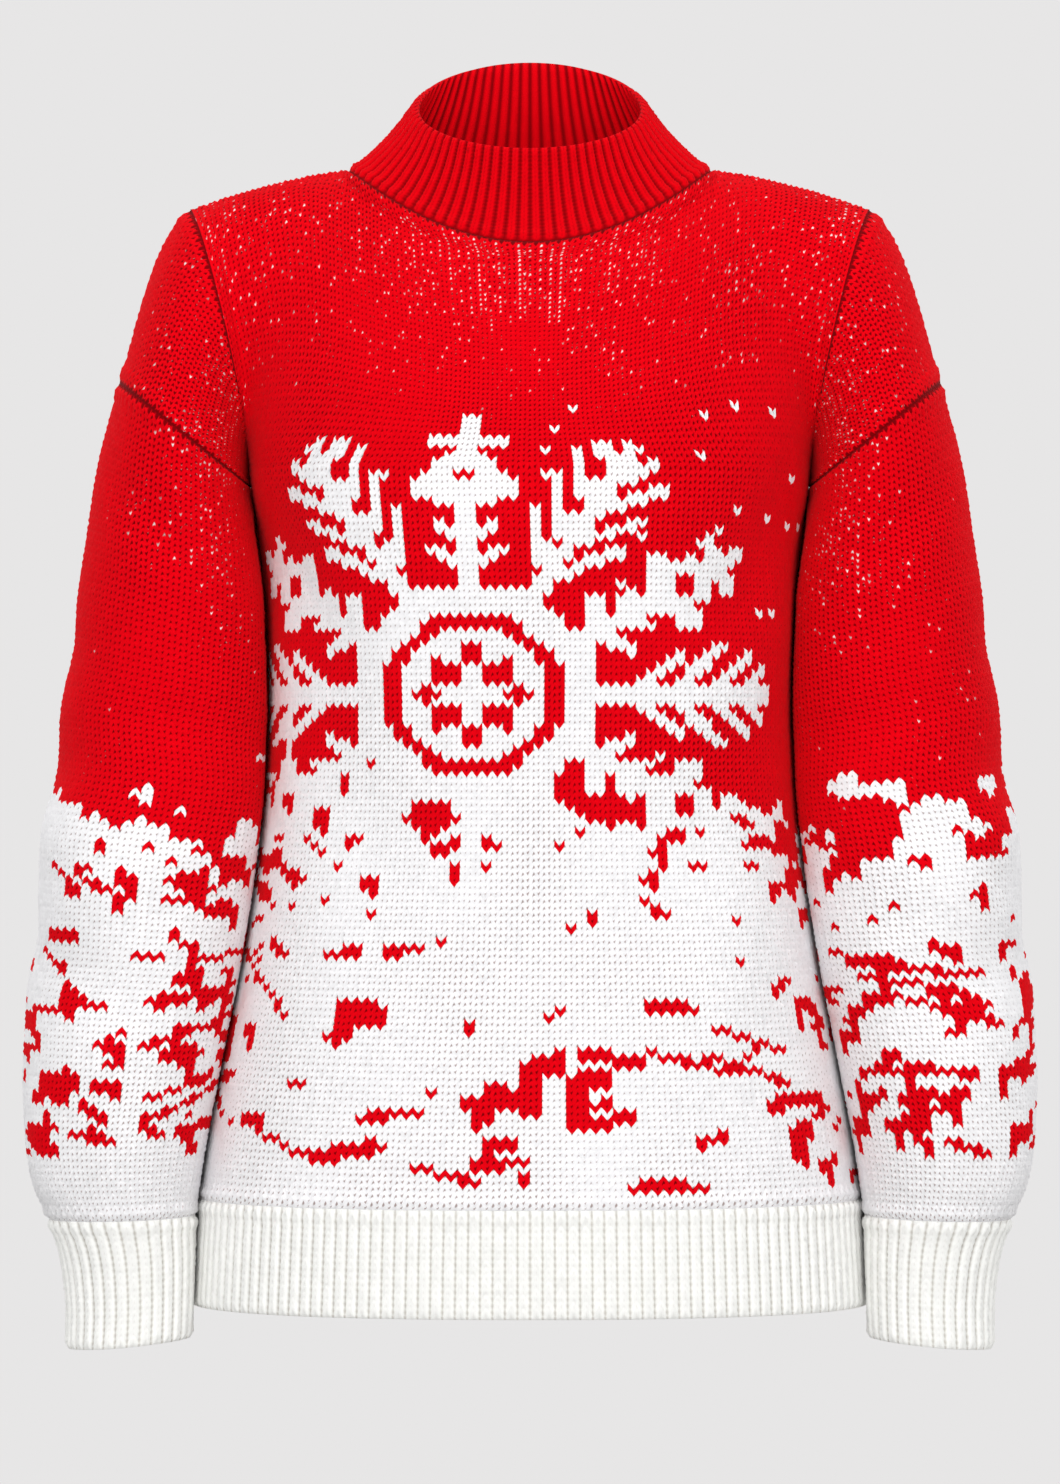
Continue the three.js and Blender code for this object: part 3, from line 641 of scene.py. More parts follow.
@dataclass
class KnitWall:
    """One knitted piece: a wall with its stitches outside and its plain side within.

    Each seam is sunk between two soft ridges, and each free edge rolls inward a little. The
    depths of seam and lip say how deep in shade they lie, from 0 to 1.
    """

    name: str
    node: str
    slot: str
    surface: Surface
    stitch: Stitch
    wales: int
    courses: int
    tube: bool
    ends: tuple[Edge, Edge]
    finish: bpy.types.Material
    dye: Callable[[Chart], Stitches]
    held: str
    seed: int
    cloth: float = 3.0
    coarse: tuple[int, int] = (4, 8)
    samples: tuple[int, int] = (241, 121)
    unevenness: float = 0.132
    edge_calm: float = 3.0
    roll_depth: float = 1.0
    roll_width: float = 1.6
    ridge_at: float = 4.2
    ridge_width: float = 2.4
    seam_ridge: float = 1.1
    side_ridge: float = 0.2
    seam_depth: float = 0.85
    lip_depth: float = 0.45
    inner_relief: float = 0.7
    leg_peek: float = 0.3
    least_peek: float = 0.35
    rib_end: int = 0
    table: dict[str, Array] = field(default_factory=dict)

    def measure(self) -> None:
        """Fills the table that spaces wales and courses evenly along the cloth."""
        across = np.linspace(0, 1, self.samples[0])
        along = np.linspace(0, 1, self.samples[1])
        point = self.surface(across[None, :] + 0 * along[:, None], along[:, None] + 0 * across)
        widths = np.linalg.norm(np.diff(point, axis=1), axis=2)
        run = np.concatenate([np.zeros((len(along), 1)), np.cumsum(widths, axis=1)], axis=1)
        heights = np.linalg.norm(np.diff(point, axis=0), axis=2)
        rise = np.concatenate([[0.0], np.cumsum(heights.mean(axis=1))])
        self.table = {
            "across": across,
            "along": along,
            "share": run / run[:, -1:],
            "rise": rise / rise[-1],
            "width": run[:, -1],
            "height": np.array([rise[-1]]),
        }
        cell = (widths[:-1] + widths[1:]) / 2 * (heights[:, :-1] + heights[:, 1:]) / 2
        self.table["area"] = np.array([cell.sum()])

    def place(self, across: Array, along: Array) -> Array:
        """Points of the bare surface.

        Args:
            across: shares of the wales, a row of values or one for each point.
            along: shares of the courses, of the same shape.

        Returns:
            The points in millimetres.
        """
        t = np.interp(along, self.table["rise"], self.table["along"])
        position = t * (len(self.table["along"]) - 1)
        low = np.clip(position.astype(int), 0, len(self.table["along"]) - 2)
        part = position - low
        u = np.empty_like(t)
        for column in range(across.shape[1]):
            share = across[0, column]
            even = np.array(
                [np.interp(share, row, self.table["across"]) for row in self.table["share"]]
            )
            i = low[:, column]
            u[:, column] = even[i] * (1 - part[:, column]) + even[i + 1] * part[:, column]
        return self.surface(u, t)

    def grid(self, columns: int, rows: int, skew: bool) -> tuple[Array, Array]:
        """The points and outward normals of a lattice of columns by rows on the surface."""
        col, row = np.meshgrid(np.arange(columns + 1), np.arange(rows + 1))
        across = col / columns
        ahead = np.zeros_like(across)
        if skew:
            fade = np.clip(np.minimum(row, rows - row) / 2, 0, 1)
            ahead = 2 * np.array(self.stitch.skew)[col % self.stitch.columns] * fade
        point = self.place(across, (row + ahead) / rows)
        if self.tube:
            wide = np.concatenate([point[:, -2:-1], point, point[:, 1:2]], axis=1)
            right = wide[:, 2:] - wide[:, :-2]
        else:
            right = np.gradient(point, axis=1)
        normal = np.cross(right, np.gradient(point, axis=0))
        normal /= np.linalg.norm(normal, axis=2, keepdims=True)
        if (normal * (point - point.mean(axis=(0, 1)))).sum() < 0:
            normal = -normal
        return point, normal

    def relief(self, columns: int, rows: int, draw: np.random.Generator) -> Array:
        """The height of the knit over the bare surface at each point of the fine lattice."""
        col, row = np.meshgrid(np.arange(columns + 1), np.arange(rows + 1))
        height = self.stitch.on_lattice(self.stitch.leg, self.stitch.between, col, row)
        loose = draw.normal(0, self.unevenness, height.shape)
        if self.tube:
            loose[:, -1] = loose[:, 0]
        height = height + loose
        course = self.table["height"][0] / rows
        wale = self.table["width"].mean() / columns
        total = np.zeros_like(height)
        inside = np.ones_like(height)
        edges = [
            (row * course, self.ends[0], self.seam_ridge),
            ((rows - row) * course, self.ends[1], self.seam_ridge),
        ]
        if not self.tube:
            edges += [
                (distance * wale, Edge.SEAM, self.side_ridge) for distance in (col, columns - col)
            ]
        for distance, edge, ridge in edges:
            inside = inside * smooth_step(0, self.edge_calm, distance)
            if edge is Edge.FREE:
                total = total - self.roll_depth * np.exp(-((distance / self.roll_width) ** 2))
            else:
                away = (distance - self.ridge_at) / self.ridge_width
                total = total + ridge * np.exp(-(away**2))
        return height * inside + total

    def inner_depth(self, columns: int, rows: int) -> Array:
        """How deep the inner side lies, with its ribs where the outer side has gutters."""
        step_x, step_y = self.coarse
        col, row = np.meshgrid(
            np.arange(columns // step_x + 1) * step_x, np.arange(rows // step_y + 1) * step_y
        )
        inside = np.clip(np.minimum(row, rows - row) / step_y, 0, 1)
        leg = np.array(self.stitch.leg)[col % self.stitch.columns]
        return self.cloth - self.inner_relief * leg * inside

    def flat_shell(self, columns: int, rows: int) -> bpy.types.Mesh:
        """A closed flat shell: a fine grid above, a coarse one below and their joined sides.

        Args:
            columns: the fine grid's columns.
            rows: the fine grid's rows.

        Returns:
            The mesh, one unit square, its lower side 0.01 down.
        """
        bm = bmesh.new()
        bmesh.ops.create_grid(bm, x_segments=columns, y_segments=rows, size=0.5)
        lower = bmesh.ops.create_grid(
            bm, x_segments=columns // self.coarse[0], y_segments=rows // self.coarse[1], size=0.5
        )["verts"]
        bmesh.ops.translate(bm, verts=lower, vec=(0, 0, -0.01))
        under = {face for vert in lower for face in vert.link_faces}
        bmesh.ops.reverse_faces(bm, faces=list(under))
        border = [edge for edge in bm.edges if edge.is_boundary]
        sides = [(1, -0.5), (1, 0.5)] + ([] if self.tube else [(0, -0.5), (0, 0.5)])
        for axis, side in sides:
            chain = [
                edge
                for edge in border
                if all(abs(vert.co[axis] - side) < 1e-6 for vert in edge.verts)
            ]
            bmesh.ops.bridge_loops(bm, edges=chain)
        if self.tube:
            first = {
                (round(v.co.y, 6), round(v.co.z, 3)): v
                for v in bm.verts
                if v.co.x < -0.5 + 1e-6
            }
            last = [v for v in bm.verts if v.co.x > 0.5 - 1e-6]
            targets = {v: first[(round(v.co.y, 6), round(v.co.z, 3))] for v in last}
            bmesh.ops.weld_verts(bm, targetmap=targets)
        mesh = bpy.data.meshes.new(self.name)
        bm.to_mesh(mesh)
        bm.free()
        return mesh

    def build(self) -> bpy.types.Object:
        """Knits the piece.

        Returns:
            Its object, with its attributes, its UV map in real metres and its finish.
        """
        self.measure()
        draw = np.random.default_rng(self.seed)
        columns = self.wales * self.stitch.columns
        step_x, step_y = self.coarse
        rows = 2 * self.courses // step_y * step_y
        point, normal = self.grid(columns, rows, skew=True)
        height = self.relief(columns, rows, draw)
        outer = point + normal * height[..., None]
        base, turned = self.grid(columns // step_x, rows // step_y, skew=False)
        inner = base - turned * self.inner_depth(columns, rows)[..., None]
        mesh = self.flat_shell(columns, rows)
        flat = np.empty(len(mesh.vertices) * 3)
        mesh.vertices.foreach_get("co", flat)
        flat = flat.reshape(-1, 3)
        fine = flat[:, 2] > -0.005
        col = (flat[:, 0] + 0.5) * columns
        row = (flat[:, 1] + 0.5) * rows
        fine_at = np.rint(row[fine]).astype(int), np.rint(col[fine]).astype(int)
        low_at = (
            np.rint(row[~fine] / step_y).astype(int),
            np.rint(col[~fine] / step_x).astype(int),
        )
        placed = np.empty_like(flat)
        placed[fine] = outer[fine_at]
        placed[~fine] = inner[low_at]
        mesh.vertices.foreach_set("co", (placed * MM).ravel())
        stitches = self.dye(self.chart(rows, draw))
        self.paint(mesh, fine, col, row, columns, rows, stitches, draw)
        mesh.materials.append(self.finish)
        mesh.polygons.foreach_set("use_smooth", np.ones(len(mesh.polygons), dtype=bool))
        mesh.update()
        obj = bpy.data.objects.new(self.name, mesh)
        bpy.context.scene.collection.objects.link(obj)
        self.declare(obj)
        LOG.info("%s: %d wales by %d courses, %d faces", self.name, self.wales, rows // 2,
                 len(mesh.polygons))
        return obj

    def chart(self, rows: int, draw: np.random.Generator) -> Chart:
        """The places of the stitches' middles on the cloth."""
        courses = rows // 2
        width = float(self.table["width"].mean())
        height = float(self.table["height"][0])
        across, along = np.meshgrid(
            ((np.arange(self.wales) + 0.5) / self.wales - 0.5) * width,
            np.arange(courses + 1) / courses * height,
        )
        return Chart(
            across, along, width, height, width / self.wales, height / courses, draw
        )

    def paint(
        self,
        mesh: bpy.types.Mesh,
        fine: Array,
        col: Array,
        row: Array,
        columns: int,
        rows: int,
        stitches: Stitches,
        draw: np.random.Generator,
    ) -> None:
        """Writes the colour of each stitch, its holes and the UV map on the mesh.

        Args:
            mesh: the finished mesh.
            fine: which vertices are on the outer grid.
            col: each vertex's fine column.
            row: each vertex's fine row.
            columns: how many fine columns there are.
            rows: how many fine rows there are.
            stitches: what each stitch shows.
            draw: the piece's own random numbers.
        """
        count = len(mesh.polygons)
        start = np.empty(count, dtype=np.int32)
        total = np.empty(count, dtype=np.int32)
        mesh.polygons.foreach_get("loop_start", start)
        mesh.polygons.foreach_get("loop_total", total)
        corner = np.empty(len(mesh.loops), dtype=np.int32)
        mesh.loops.foreach_get("vertex_index", corner)
        loop_col = col[corner]
        face_of = np.repeat(np.arange(count), total)
        highest = np.maximum.reduceat(loop_col, start)
        lowest = np.minimum.reduceat(loop_col, start)
        wraps = (highest - lowest) > columns / 2
        loop_col = np.where(wraps[face_of] & (loop_col < columns / 2), loop_col + columns, loop_col)
        mid_col = np.add.reduceat(loop_col, start) / total
        mid_row = np.add.reduceat(row[corner], start) / total
        wale = np.clip((mid_col / self.stitch.columns).astype(int), 0, self.wales - 1)
        course = np.clip(((mid_row + 1) / 2).astype(int), 0, rows // 2)
        tone = draw.random(stitches.white.shape)
        for name, value in (("white", stitches.white), ("tone", tone)):
            layer = mesh.attributes.new(name, "FLOAT", "FACE")
            layer.data.foreach_set("value", value[course, wale].astype(np.float32))
        at_col = np.rint(col[fine]).astype(int)
        at_row = np.rint(row[fine]).astype(int)
        at = (
            np.clip(at_row // 2, 0, rows // 2),
            np.clip(at_col // self.stitch.columns, 0, self.wales - 1),
        )
        chance = draw.random(len(at_col))
        # Painted shade: how dark each point is painted in the holes and gutters of its stitches,
        # along the seams, in the dots of a rib join and in the grooves of the inner side, scaled on
        # the outer side by how far each stitch's holes are pulled open.
        hollow = np.zeros(len(fine))
        peek = np.zeros(len(fine))
        hollow[fine] = stitches.hole_shade[at] * self.stitch.on_lattice(
            self.stitch.leg_hollow, self.stitch.between_hollow, at_col, at_row
        )
        seam = self.seam_shade(at_col, at_row, columns, rows)
        hollow[fine] = np.maximum(hollow[fine], seam)
        within = np.rint(col[~fine]).astype(int) % self.stitch.columns
        hollow[~fine] = np.array(self.stitch.inner_hollow)[within]
        gutter = at_col % self.stitch.columns == 0
        likely = stitches.peek[at] * np.where(gutter, 1.0, self.leg_peek)
        shows = (chance < likely) & (seam == 0)
        strength = self.least_peek + (1 - self.least_peek) * draw.random(len(at_col))
        peek[fine] = np.where(shows, strength, 0.0)
        inner = np.where(fine, 0.0, 1.0)
        for name, value in (("hollow", hollow), ("peek", peek), ("inner", inner)):
            layer = mesh.attributes.new(name, "FLOAT", "POINT")
            layer.data.foreach_set("value", value.astype(np.float32))
        width = self.table["width"].mean() / columns * MM
        height = self.table["height"][0] / rows * MM
        uv = np.stack([loop_col * width, row[corner] * height], axis=1)
        layer = mesh.uv_layers.new(name="cloth")
        layer.data.foreach_set("uv", uv.astype(np.float32).ravel())

    def seam_shade(self, col: Array, row: Array, columns: int, rows: int) -> Array:
        """How deep in shade each fine point lies for its seams and its join to a rib."""
        shade = np.zeros(col.shape)
        for edge, end, drawn in ((row, 0, self.ends[0]), (row, rows, self.ends[1])):
            if drawn is Edge.SEAM:
                shade[np.abs(edge - end) == 1] = self.lip_depth
                shade[edge == end] = self.seam_depth
        if not self.tube:
            shade[(col == 0) | (col == columns)] = self.seam_depth
        if self.ends[self.rib_end] is Edge.RIB_JOIN and self.stitch is STOCKING:
            near = row if self.rib_end == 0 else rows - row
            shade[(near == 1) & (col % self.stitch.columns == 0)] = 1.0
        return shade

    def declare(self, obj: bpy.types.Object) -> None:
        """Attaches the piece to the root body and hides the imported part that it stands for."""
        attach(obj, "root")
        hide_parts(self.node)


def linear(hex_colour: str) -> tuple[float, float, float, float]:
    """The linear colour of an sRGB hex value."""
    channels = [int(hex_colour[i : i + 2], 16) / 255 for i in (1, 3, 5)]
    return (
        *(c / 12.92 if c <= 0.04045 else ((c + 0.055) / 1.055) ** 2.4 for c in channels),
        1.0,
    )


def add_node(
    tree: bpy.types.NodeTree,
    kind: str,
    settings: dict[str, object] | None = None,
    inputs: dict[object, object] | None = None,
) -> bpy.types.Node:
    """Adds one node.

    Args:
        tree: the tree it goes in.
        kind: the node's type.
        settings: its own properties by name.
        inputs: a value or another node's output for each named or numbered socket.

    Returns:
        The node.
    """
    node = tree.nodes.new(kind)
    for name, value in (settings or {}).items():
        setattr(node, name, value)
    for name, value in (inputs or {}).items():
        if isinstance(value, bpy.types.NodeSocket):
            tree.links.new(value, node.inputs[name])
        else:
            node.inputs[name].default_value = value
    return node


@dataclass(frozen=True)
class WoolBlendYarn:
    """Soft spun wool-blend yarn, knitted in red and white.

    The eye sees matt, slightly hairy strands: a pale sheen at grazing angles, small dark holes
    between the legs of the stitches, whose dark is painted shade, and a little unevenness from
    strand to strand.
    """

    name: str
    # red_hollow and white_hollow are painted shade: the darkened red and white of holes, gutters,
    # seams and inner grooves.
    red: str = "#E70011"
    red_hollow: str = "#7C0006"
    white: str = "#FBFAFC"
    white_hollow: str = "#AB9996"
    float_white: str = "#FFF3F2"
    hollow_from: float = 0.38
    hollow_to: float = 0.8
    purl_mm: float = 3.5
    purl_height: float = 1.6
    # Painted shade: how far the inner side darkens between the purl rows.
    purl_shade: float = 0.55
    peek_from: float = 0.1
    peek_to: float = 0.7
    fibre_mm: float = 0.7
    strand_mm: float = 2.2
    brightness: tuple[float, float] = (0.94, 1.06)
    fuzz_strength: float = 0.55
    fuzz_mm: float = 0.6
    roughness: float = 0.88
    specular: float = 0.03
    sheen: float = 0.02
    sheen_roughness: float = 0.5

    def material(self) -> bpy.types.Material:
        """The finish as a material that reads each stitch's own attributes."""
        material = bpy.data.materials.new(self.name)
        material.use_nodes = True
        tree = material.node_tree
        tree.nodes.clear()
        attribute = {
            name: add_node(tree, "ShaderNodeAttribute", {"attribute_name": name}).outputs["Fac"]
            for name in ("white", "tone", "hollow", "peek", "inner")
        }
        place = add_node(tree, "ShaderNodeTexCoord").outputs["Object"]
        white = attribute["white"]
        # Painted shade: the second mix is the darkened colour that holes, gutters and seams are
        # painted with.
        yarn, hollow = (
            add_node(
                tree,
                "ShaderNodeMix",
                COLOUR_MIX,
                {"Factor": white, 6: linear(low), 7: linear(high)},
            ).outputs[2]
            for low, high in ((self.red, self.white), (self.red_hollow, self.white_hollow))
        )
        deep = add_node(
            tree,
            "ShaderNodeMapRange",
            {"interpolation_type": "SMOOTHSTEP"},
            {
                "Value": attribute["hollow"],
                "From Min": self.hollow_from,
                "From Max": self.hollow_to,
            },
        ).outputs["Result"]
        behind = add_node(
            tree,
            "ShaderNodeMapRange",
            None,
            {
                "Value": attribute["peek"],
                "From Min": self.peek_from,
                "From Max": self.peek_to,
            },
        ).outputs["Result"]
        # A hole shows the painted shade, or the white yarn carried behind where it peeks through.
        hole = add_node(
            tree,
            "ShaderNodeMix",
            COLOUR_MIX,
            {"Factor": behind, 6: hollow, 7: linear(self.float_white)},
        ).outputs[2]
        # Painted shade on the inner side: the colour darkens between the purl rows.
        purl = self.purl(tree)
        between = add_node(
            tree, "ShaderNodeMath", {"operation": "SUBTRACT"}, {0: attribute["inner"], 1: purl}
        ).outputs[0]
        shaded = add_node(
            tree,
            "ShaderNodeMapRange",
            None,
            {"Value": between, "From Min": 0.1, "From Max": 1.0, "To Max": self.purl_shade},
        ).outputs["Result"]
        # Mixes the painted shade into the holes, then into the grooves between purl rows on the
        # inner side.
        dotted = yarn
        for share, shade in ((deep, hole), (shaded, hollow)):
            dotted = add_node(
                tree, "ShaderNodeMix", COLOUR_MIX, {"Factor": share, 6: dotted, 7: shade}
            ).outputs[2]
        strand = add_node(
            tree,
            "ShaderNodeTexNoise",
            None,
            {"Vector": place, "Scale": 1 / (self.strand_mm * MM), "Detail": 2.0},
        ).outputs["Fac"]
        uneven = add_node(
            tree, "ShaderNodeMath", {"operation": "ADD"}, {0: strand, 1: attribute["tone"]}
        ).outputs[0]
        bright = add_node(
            tree,
            "ShaderNodeMapRange",
            None,
            {
                "Value": uneven,
                "From Max": 2.0,
                "To Min": self.brightness[0],
                "To Max": self.brightness[1],
            },
        ).outputs["Result"]
        colour = add_node(
            tree,
            "ShaderNodeHueSaturation",
            None,
            {"Color": dotted, "Value": bright},
        ).outputs["Color"]
        fibre = add_node(
            tree,
            "ShaderNodeTexNoise",
            None,
            {"Vector": place, "Scale": 1 / (self.fibre_mm * MM), "Detail": 3.0, "Roughness": 0.6},
        ).outputs["Fac"]
        raised = add_node(
            tree, "ShaderNodeMath", {"operation": "MULTIPLY"}, {0: purl, 1: attribute["inner"]}
        ).outputs[0]
        height = add_node(
            tree,
            "ShaderNodeMath",
            {"operation": "MULTIPLY_ADD"},
            {0: raised, 1: self.purl_height, 2: fibre},
        ).outputs[0]
        bump = add_node(
            tree,
            "ShaderNodeBump",
            None,
            {
                "Height": height,
                "Strength": self.fuzz_strength,
                "Distance": self.fuzz_mm * MM,
            },
        ).outputs["Normal"]
        shader = add_node(
            tree,
            "ShaderNodeBsdfPrincipled",
            None,
            {
                "Base Color": colour,
                "Roughness": self.roughness,
                "Specular IOR Level": self.specular,
                "Sheen Weight": self.sheen,
                "Sheen Roughness": self.sheen_roughness,
                "Normal": bump,
            },
        )
        add_node(
            tree, "ShaderNodeOutputMaterial", None, {"Surface": shader.outputs["BSDF"]}
        )
        return material

    def purl(self, tree: bpy.types.NodeTree) -> bpy.types.NodeSocket:
        """Rows of purl bumps, one to a course, in the cloth's own real millimetres.

        One band of the wave texture is a twentieth of a full turn wide at scale 1.
        """
        cloth = add_node(tree, "ShaderNodeUVMap", {"uv_map": "cloth"}).outputs["UV"]
        return add_node(
            tree,
            "ShaderNodeTexWave",
            {"wave_type": "BANDS", "bands_direction": "Y"},
            {
                "Vector": cloth,
                "Scale": 2 * math.pi / (20 * self.purl_mm * MM),
                "Distortion": 1.5,
                "Detail": 1.0,
                "Detail Scale": 2.0,
            },
        ).outputs["Fac"]


def stroke(
    a: Array, b: Array, start: tuple[float, float], end: tuple[float, float], half: float | Array
) -> Array:
    """Where points lie within half a stroke's width of a straight line."""
    run = np.array(end) - np.array(start)
    length = max(float(np.hypot(*run)), 1e-6)
    t = ((a - start[0]) * run[0] + (b - start[1]) * run[1]) / length**2
    t = np.clip(t, 0, 1)
    return np.hypot(a - start[0] - t * run[0], b - start[1] - t * run[1]) < half


@dataclass(frozen=True)
class Snowflake:
    """A large flake of frost, drawn by rule: twelve arms about an eight-sided plate.

    Lengths are in millimetres on the cloth. Fern arms, with paired needles, stand in turn with
    tree arms that end in a leafy head. A plain eight-petalled star lies in the plate, within
    an eight-sided line.
    """

    across: float = -32.0
    along: float = 273.0
    widen: float = 1.16
    plate: float = 57.0
    line_from: float = 34.0
    line_to: float = 41.0
    petals: tuple[tuple[float, float, float, float], ...] = (
        (45.0, 16.0, 11.0, 7.5),
        (0.0, 21.5, 8.5, 4.6),
    )
    stem_half: float = 4.6
    needle_half: float = 3.22
    reach: float = 150.0
    needles: tuple[tuple[float, float, float], ...] = (
        (70, 98, 21),
        (90, 119, 24),
        (109, 136, 21),
        (128, 147, 13),
    )
    leaves: tuple[tuple[float, float, float, float], ...] = (
        (64, 76, 15, 3.4),
        (80, 89, 10, 3.0),
        (100, 109, 15, 5.0),
        (109, 109, 16, 7.5),
        (122, 122, 6, 7.5),
        (136, 136, 13, 4.6),
    )
    window_at: float = 116.0
    window_half: float = 6.0

    def white_at(self, chart: Chart) -> tuple[Array, Array]:
        """Where the flake is white, and where its plate keeps the red clear of snow.

        Args:
            chart: the panel's stitches.

        Returns:
            Two masks, of the white stitches and of the red line and star in the plate.
        """
        middle = round(self.across / chart.wale) * chart.wale
        level = round(self.along / chart.course) * chart.course
        dx = (chart.across - middle) / self.widen
        dy = chart.along - level
        reach = np.hypot(dx, dy)
        angle = np.degrees(np.arctan2(dx, dy))
        eighth = np.radians(np.abs((angle + 22.5) % 45 - 22.5))
        flat_reach = reach * np.cos(eighth)
        red = (flat_reach > self.line_from) & (flat_reach < self.line_to)
        for turn, out, long, wide in self.petals:
            off = np.radians((angle - turn + 45) % 90 - 45)
            along, aside = reach * np.cos(off) - out, np.abs(reach * np.sin(off))
            red |= np.abs(along) / long + aside / wide < 1
        sector = np.round(angle / 30)
        off = np.radians(angle - 30 * sector)
        a = reach * np.cos(off)
        b = np.abs(reach * np.sin(off))
        fern = sector % 2 == 1
        plate = flat_reach < self.plate
        return (plate & ~red) | (~plate & self.arm(a, b, fern)), red

    def arm(self, a: Array, b: Array, fern: Array) -> Array:
        """Where the arms are white, with a along an arm and b aside from it."""
        stem = stroke(a, b, (0, 0), (self.reach, 0), self.stem_half)
        needles = np.zeros_like(stem)
        for start, tip, aside in self.needles:
            needles |= stroke(a, b, (start, 0), (tip, aside), self.needle_half)
        leaves = np.zeros_like(stem)
        for start, tip, aside, half in self.leaves:
            leaves |= stroke(a, b, (start, 0), (tip, aside), half)
        window = np.abs(a - self.window_at) / self.window_half + b / self.window_half < 1
        return np.where(fern, stem | needles, (stem | leaves) & ~window)


@dataclass(frozen=True)
class SnowDrift:
    """Drifting snow: a ragged crust of white over the red, and red marks left below it.

    Heights are in millimetres along the cloth, measured in the way that the snow deepens. The
    marks are scattered at random as specks, bars, blots and thin wind lines, by the chances
    above which each of the last three is drawn. In the calm middle of a wide piece only a share
    of them is kept, more of it in the upper half.
    """

    start: float
    end: float
    marks: int
    crust: float
    calm_share: float = 1.0
    calm_scale: float = 1.0
    lean: float = -14.0
    turn_spread: float = 60.0
    layers: tuple[tuple[float, tuple[float, float]], ...] = (
        (0.42, (38, 24)),
        (0.34, (17, 12)),
        (0.24, (10, 7)),
    )
    first_cover: float = 0.33
    cover_rise: float = 0.55
    crest: float = 24.0
    ragged_cell: tuple[float, float] = (9, 6)
    ragged_reach: float = 2.2
    calm_between: tuple[float, float] = (0.78, 0.62)
    upper_calm: float = 0.35
    bar_above: float = 0.28
    blot_above: float = 0.66
    line_above: float = 0.90
    speck_half: float = 2.7
    line_half: float = 1.9

    def white_at(self, chart: Chart, deep: Array) -> Array:
        """Where the snow is white.

        Args:
            chart: the piece's stitches.
            deep: how far down the cloth each stitch lies.

        Returns:
            A mask of the white stitches.
        """
        mix = sum(weight * chart.noise(cell) for weight, cell in self.layers)
        rise = self.cover_rise * (deep - self.start) / self.crust
        white = (mix < np.clip(self.first_cover + rise, 0, 1)) & (deep > self.start - self.crest)
        ragged = chart.noise(self.ragged_cell) - 0.5
        for _ in range(self.marks):
            white &= ~self.mark(chart, deep, ragged)
        return white

    def mark(self, chart: Chart, deep: Array, ragged: Array) -> Array:
        """One red mark at a random place, or none where the snow is calm.

        Args:
            chart: the piece's stitches.
            deep: how far down the cloth each stitch lies.
            ragged: noise about 0 that makes the marks' outlines uneven.

        Returns:
            A mask of its stitches.
        """
        place, share, kept, kind, turn, size = chart.draw.random(6)
        x = (place - 0.5) * chart.width
        y = self.start + (self.end - self.start) * share
        middle = float(smooth_step(*self.calm_between, np.array(abs(2 * place - 1))))
        calm = middle * (1 - self.calm_share * (self.upper_calm if share < 0.5 else 1.0))
        if kept < calm:
            return np.zeros(deep.shape, dtype=bool)
        scale = 1 + (self.calm_scale - 1) * middle
        angle = math.radians(self.lean + self.turn_spread * (turn - 0.5))
        strokes = [(angle, 0.0, self.speck_half)]
        if kind > self.line_above:
            flat = math.radians(-self.lean + 16 * (turn - 0.5))
            strokes = [(flat, 30 + 50 * size, self.line_half)]
        elif kind > self.blot_above:
            half = (2.8 + 2.4 * size) * scale
            strokes = [(angle, (5 + 9 * turn) * scale, half)]
            strokes.append((angle + 1.1 + size, (6 + 8 * size) * scale, half * 0.75))
        elif kind > self.bar_above:
            strokes = [(angle, (7 + 16 * size) * scale, (1.7 + 1.5 * turn) * math.sqrt(scale))]
        found = np.zeros(deep.shape, dtype=bool)
        for way, length, half in strokes:
            tip = (x + length * math.cos(way), y + length * math.sin(way))
            broad = half > 2.0 and length > 0
            reach = half + (self.ragged_reach * ragged if broad else 0.0)
            found |= stroke(chart.across, deep, (x, y), tip, reach)
        return found & (deep < self.end)


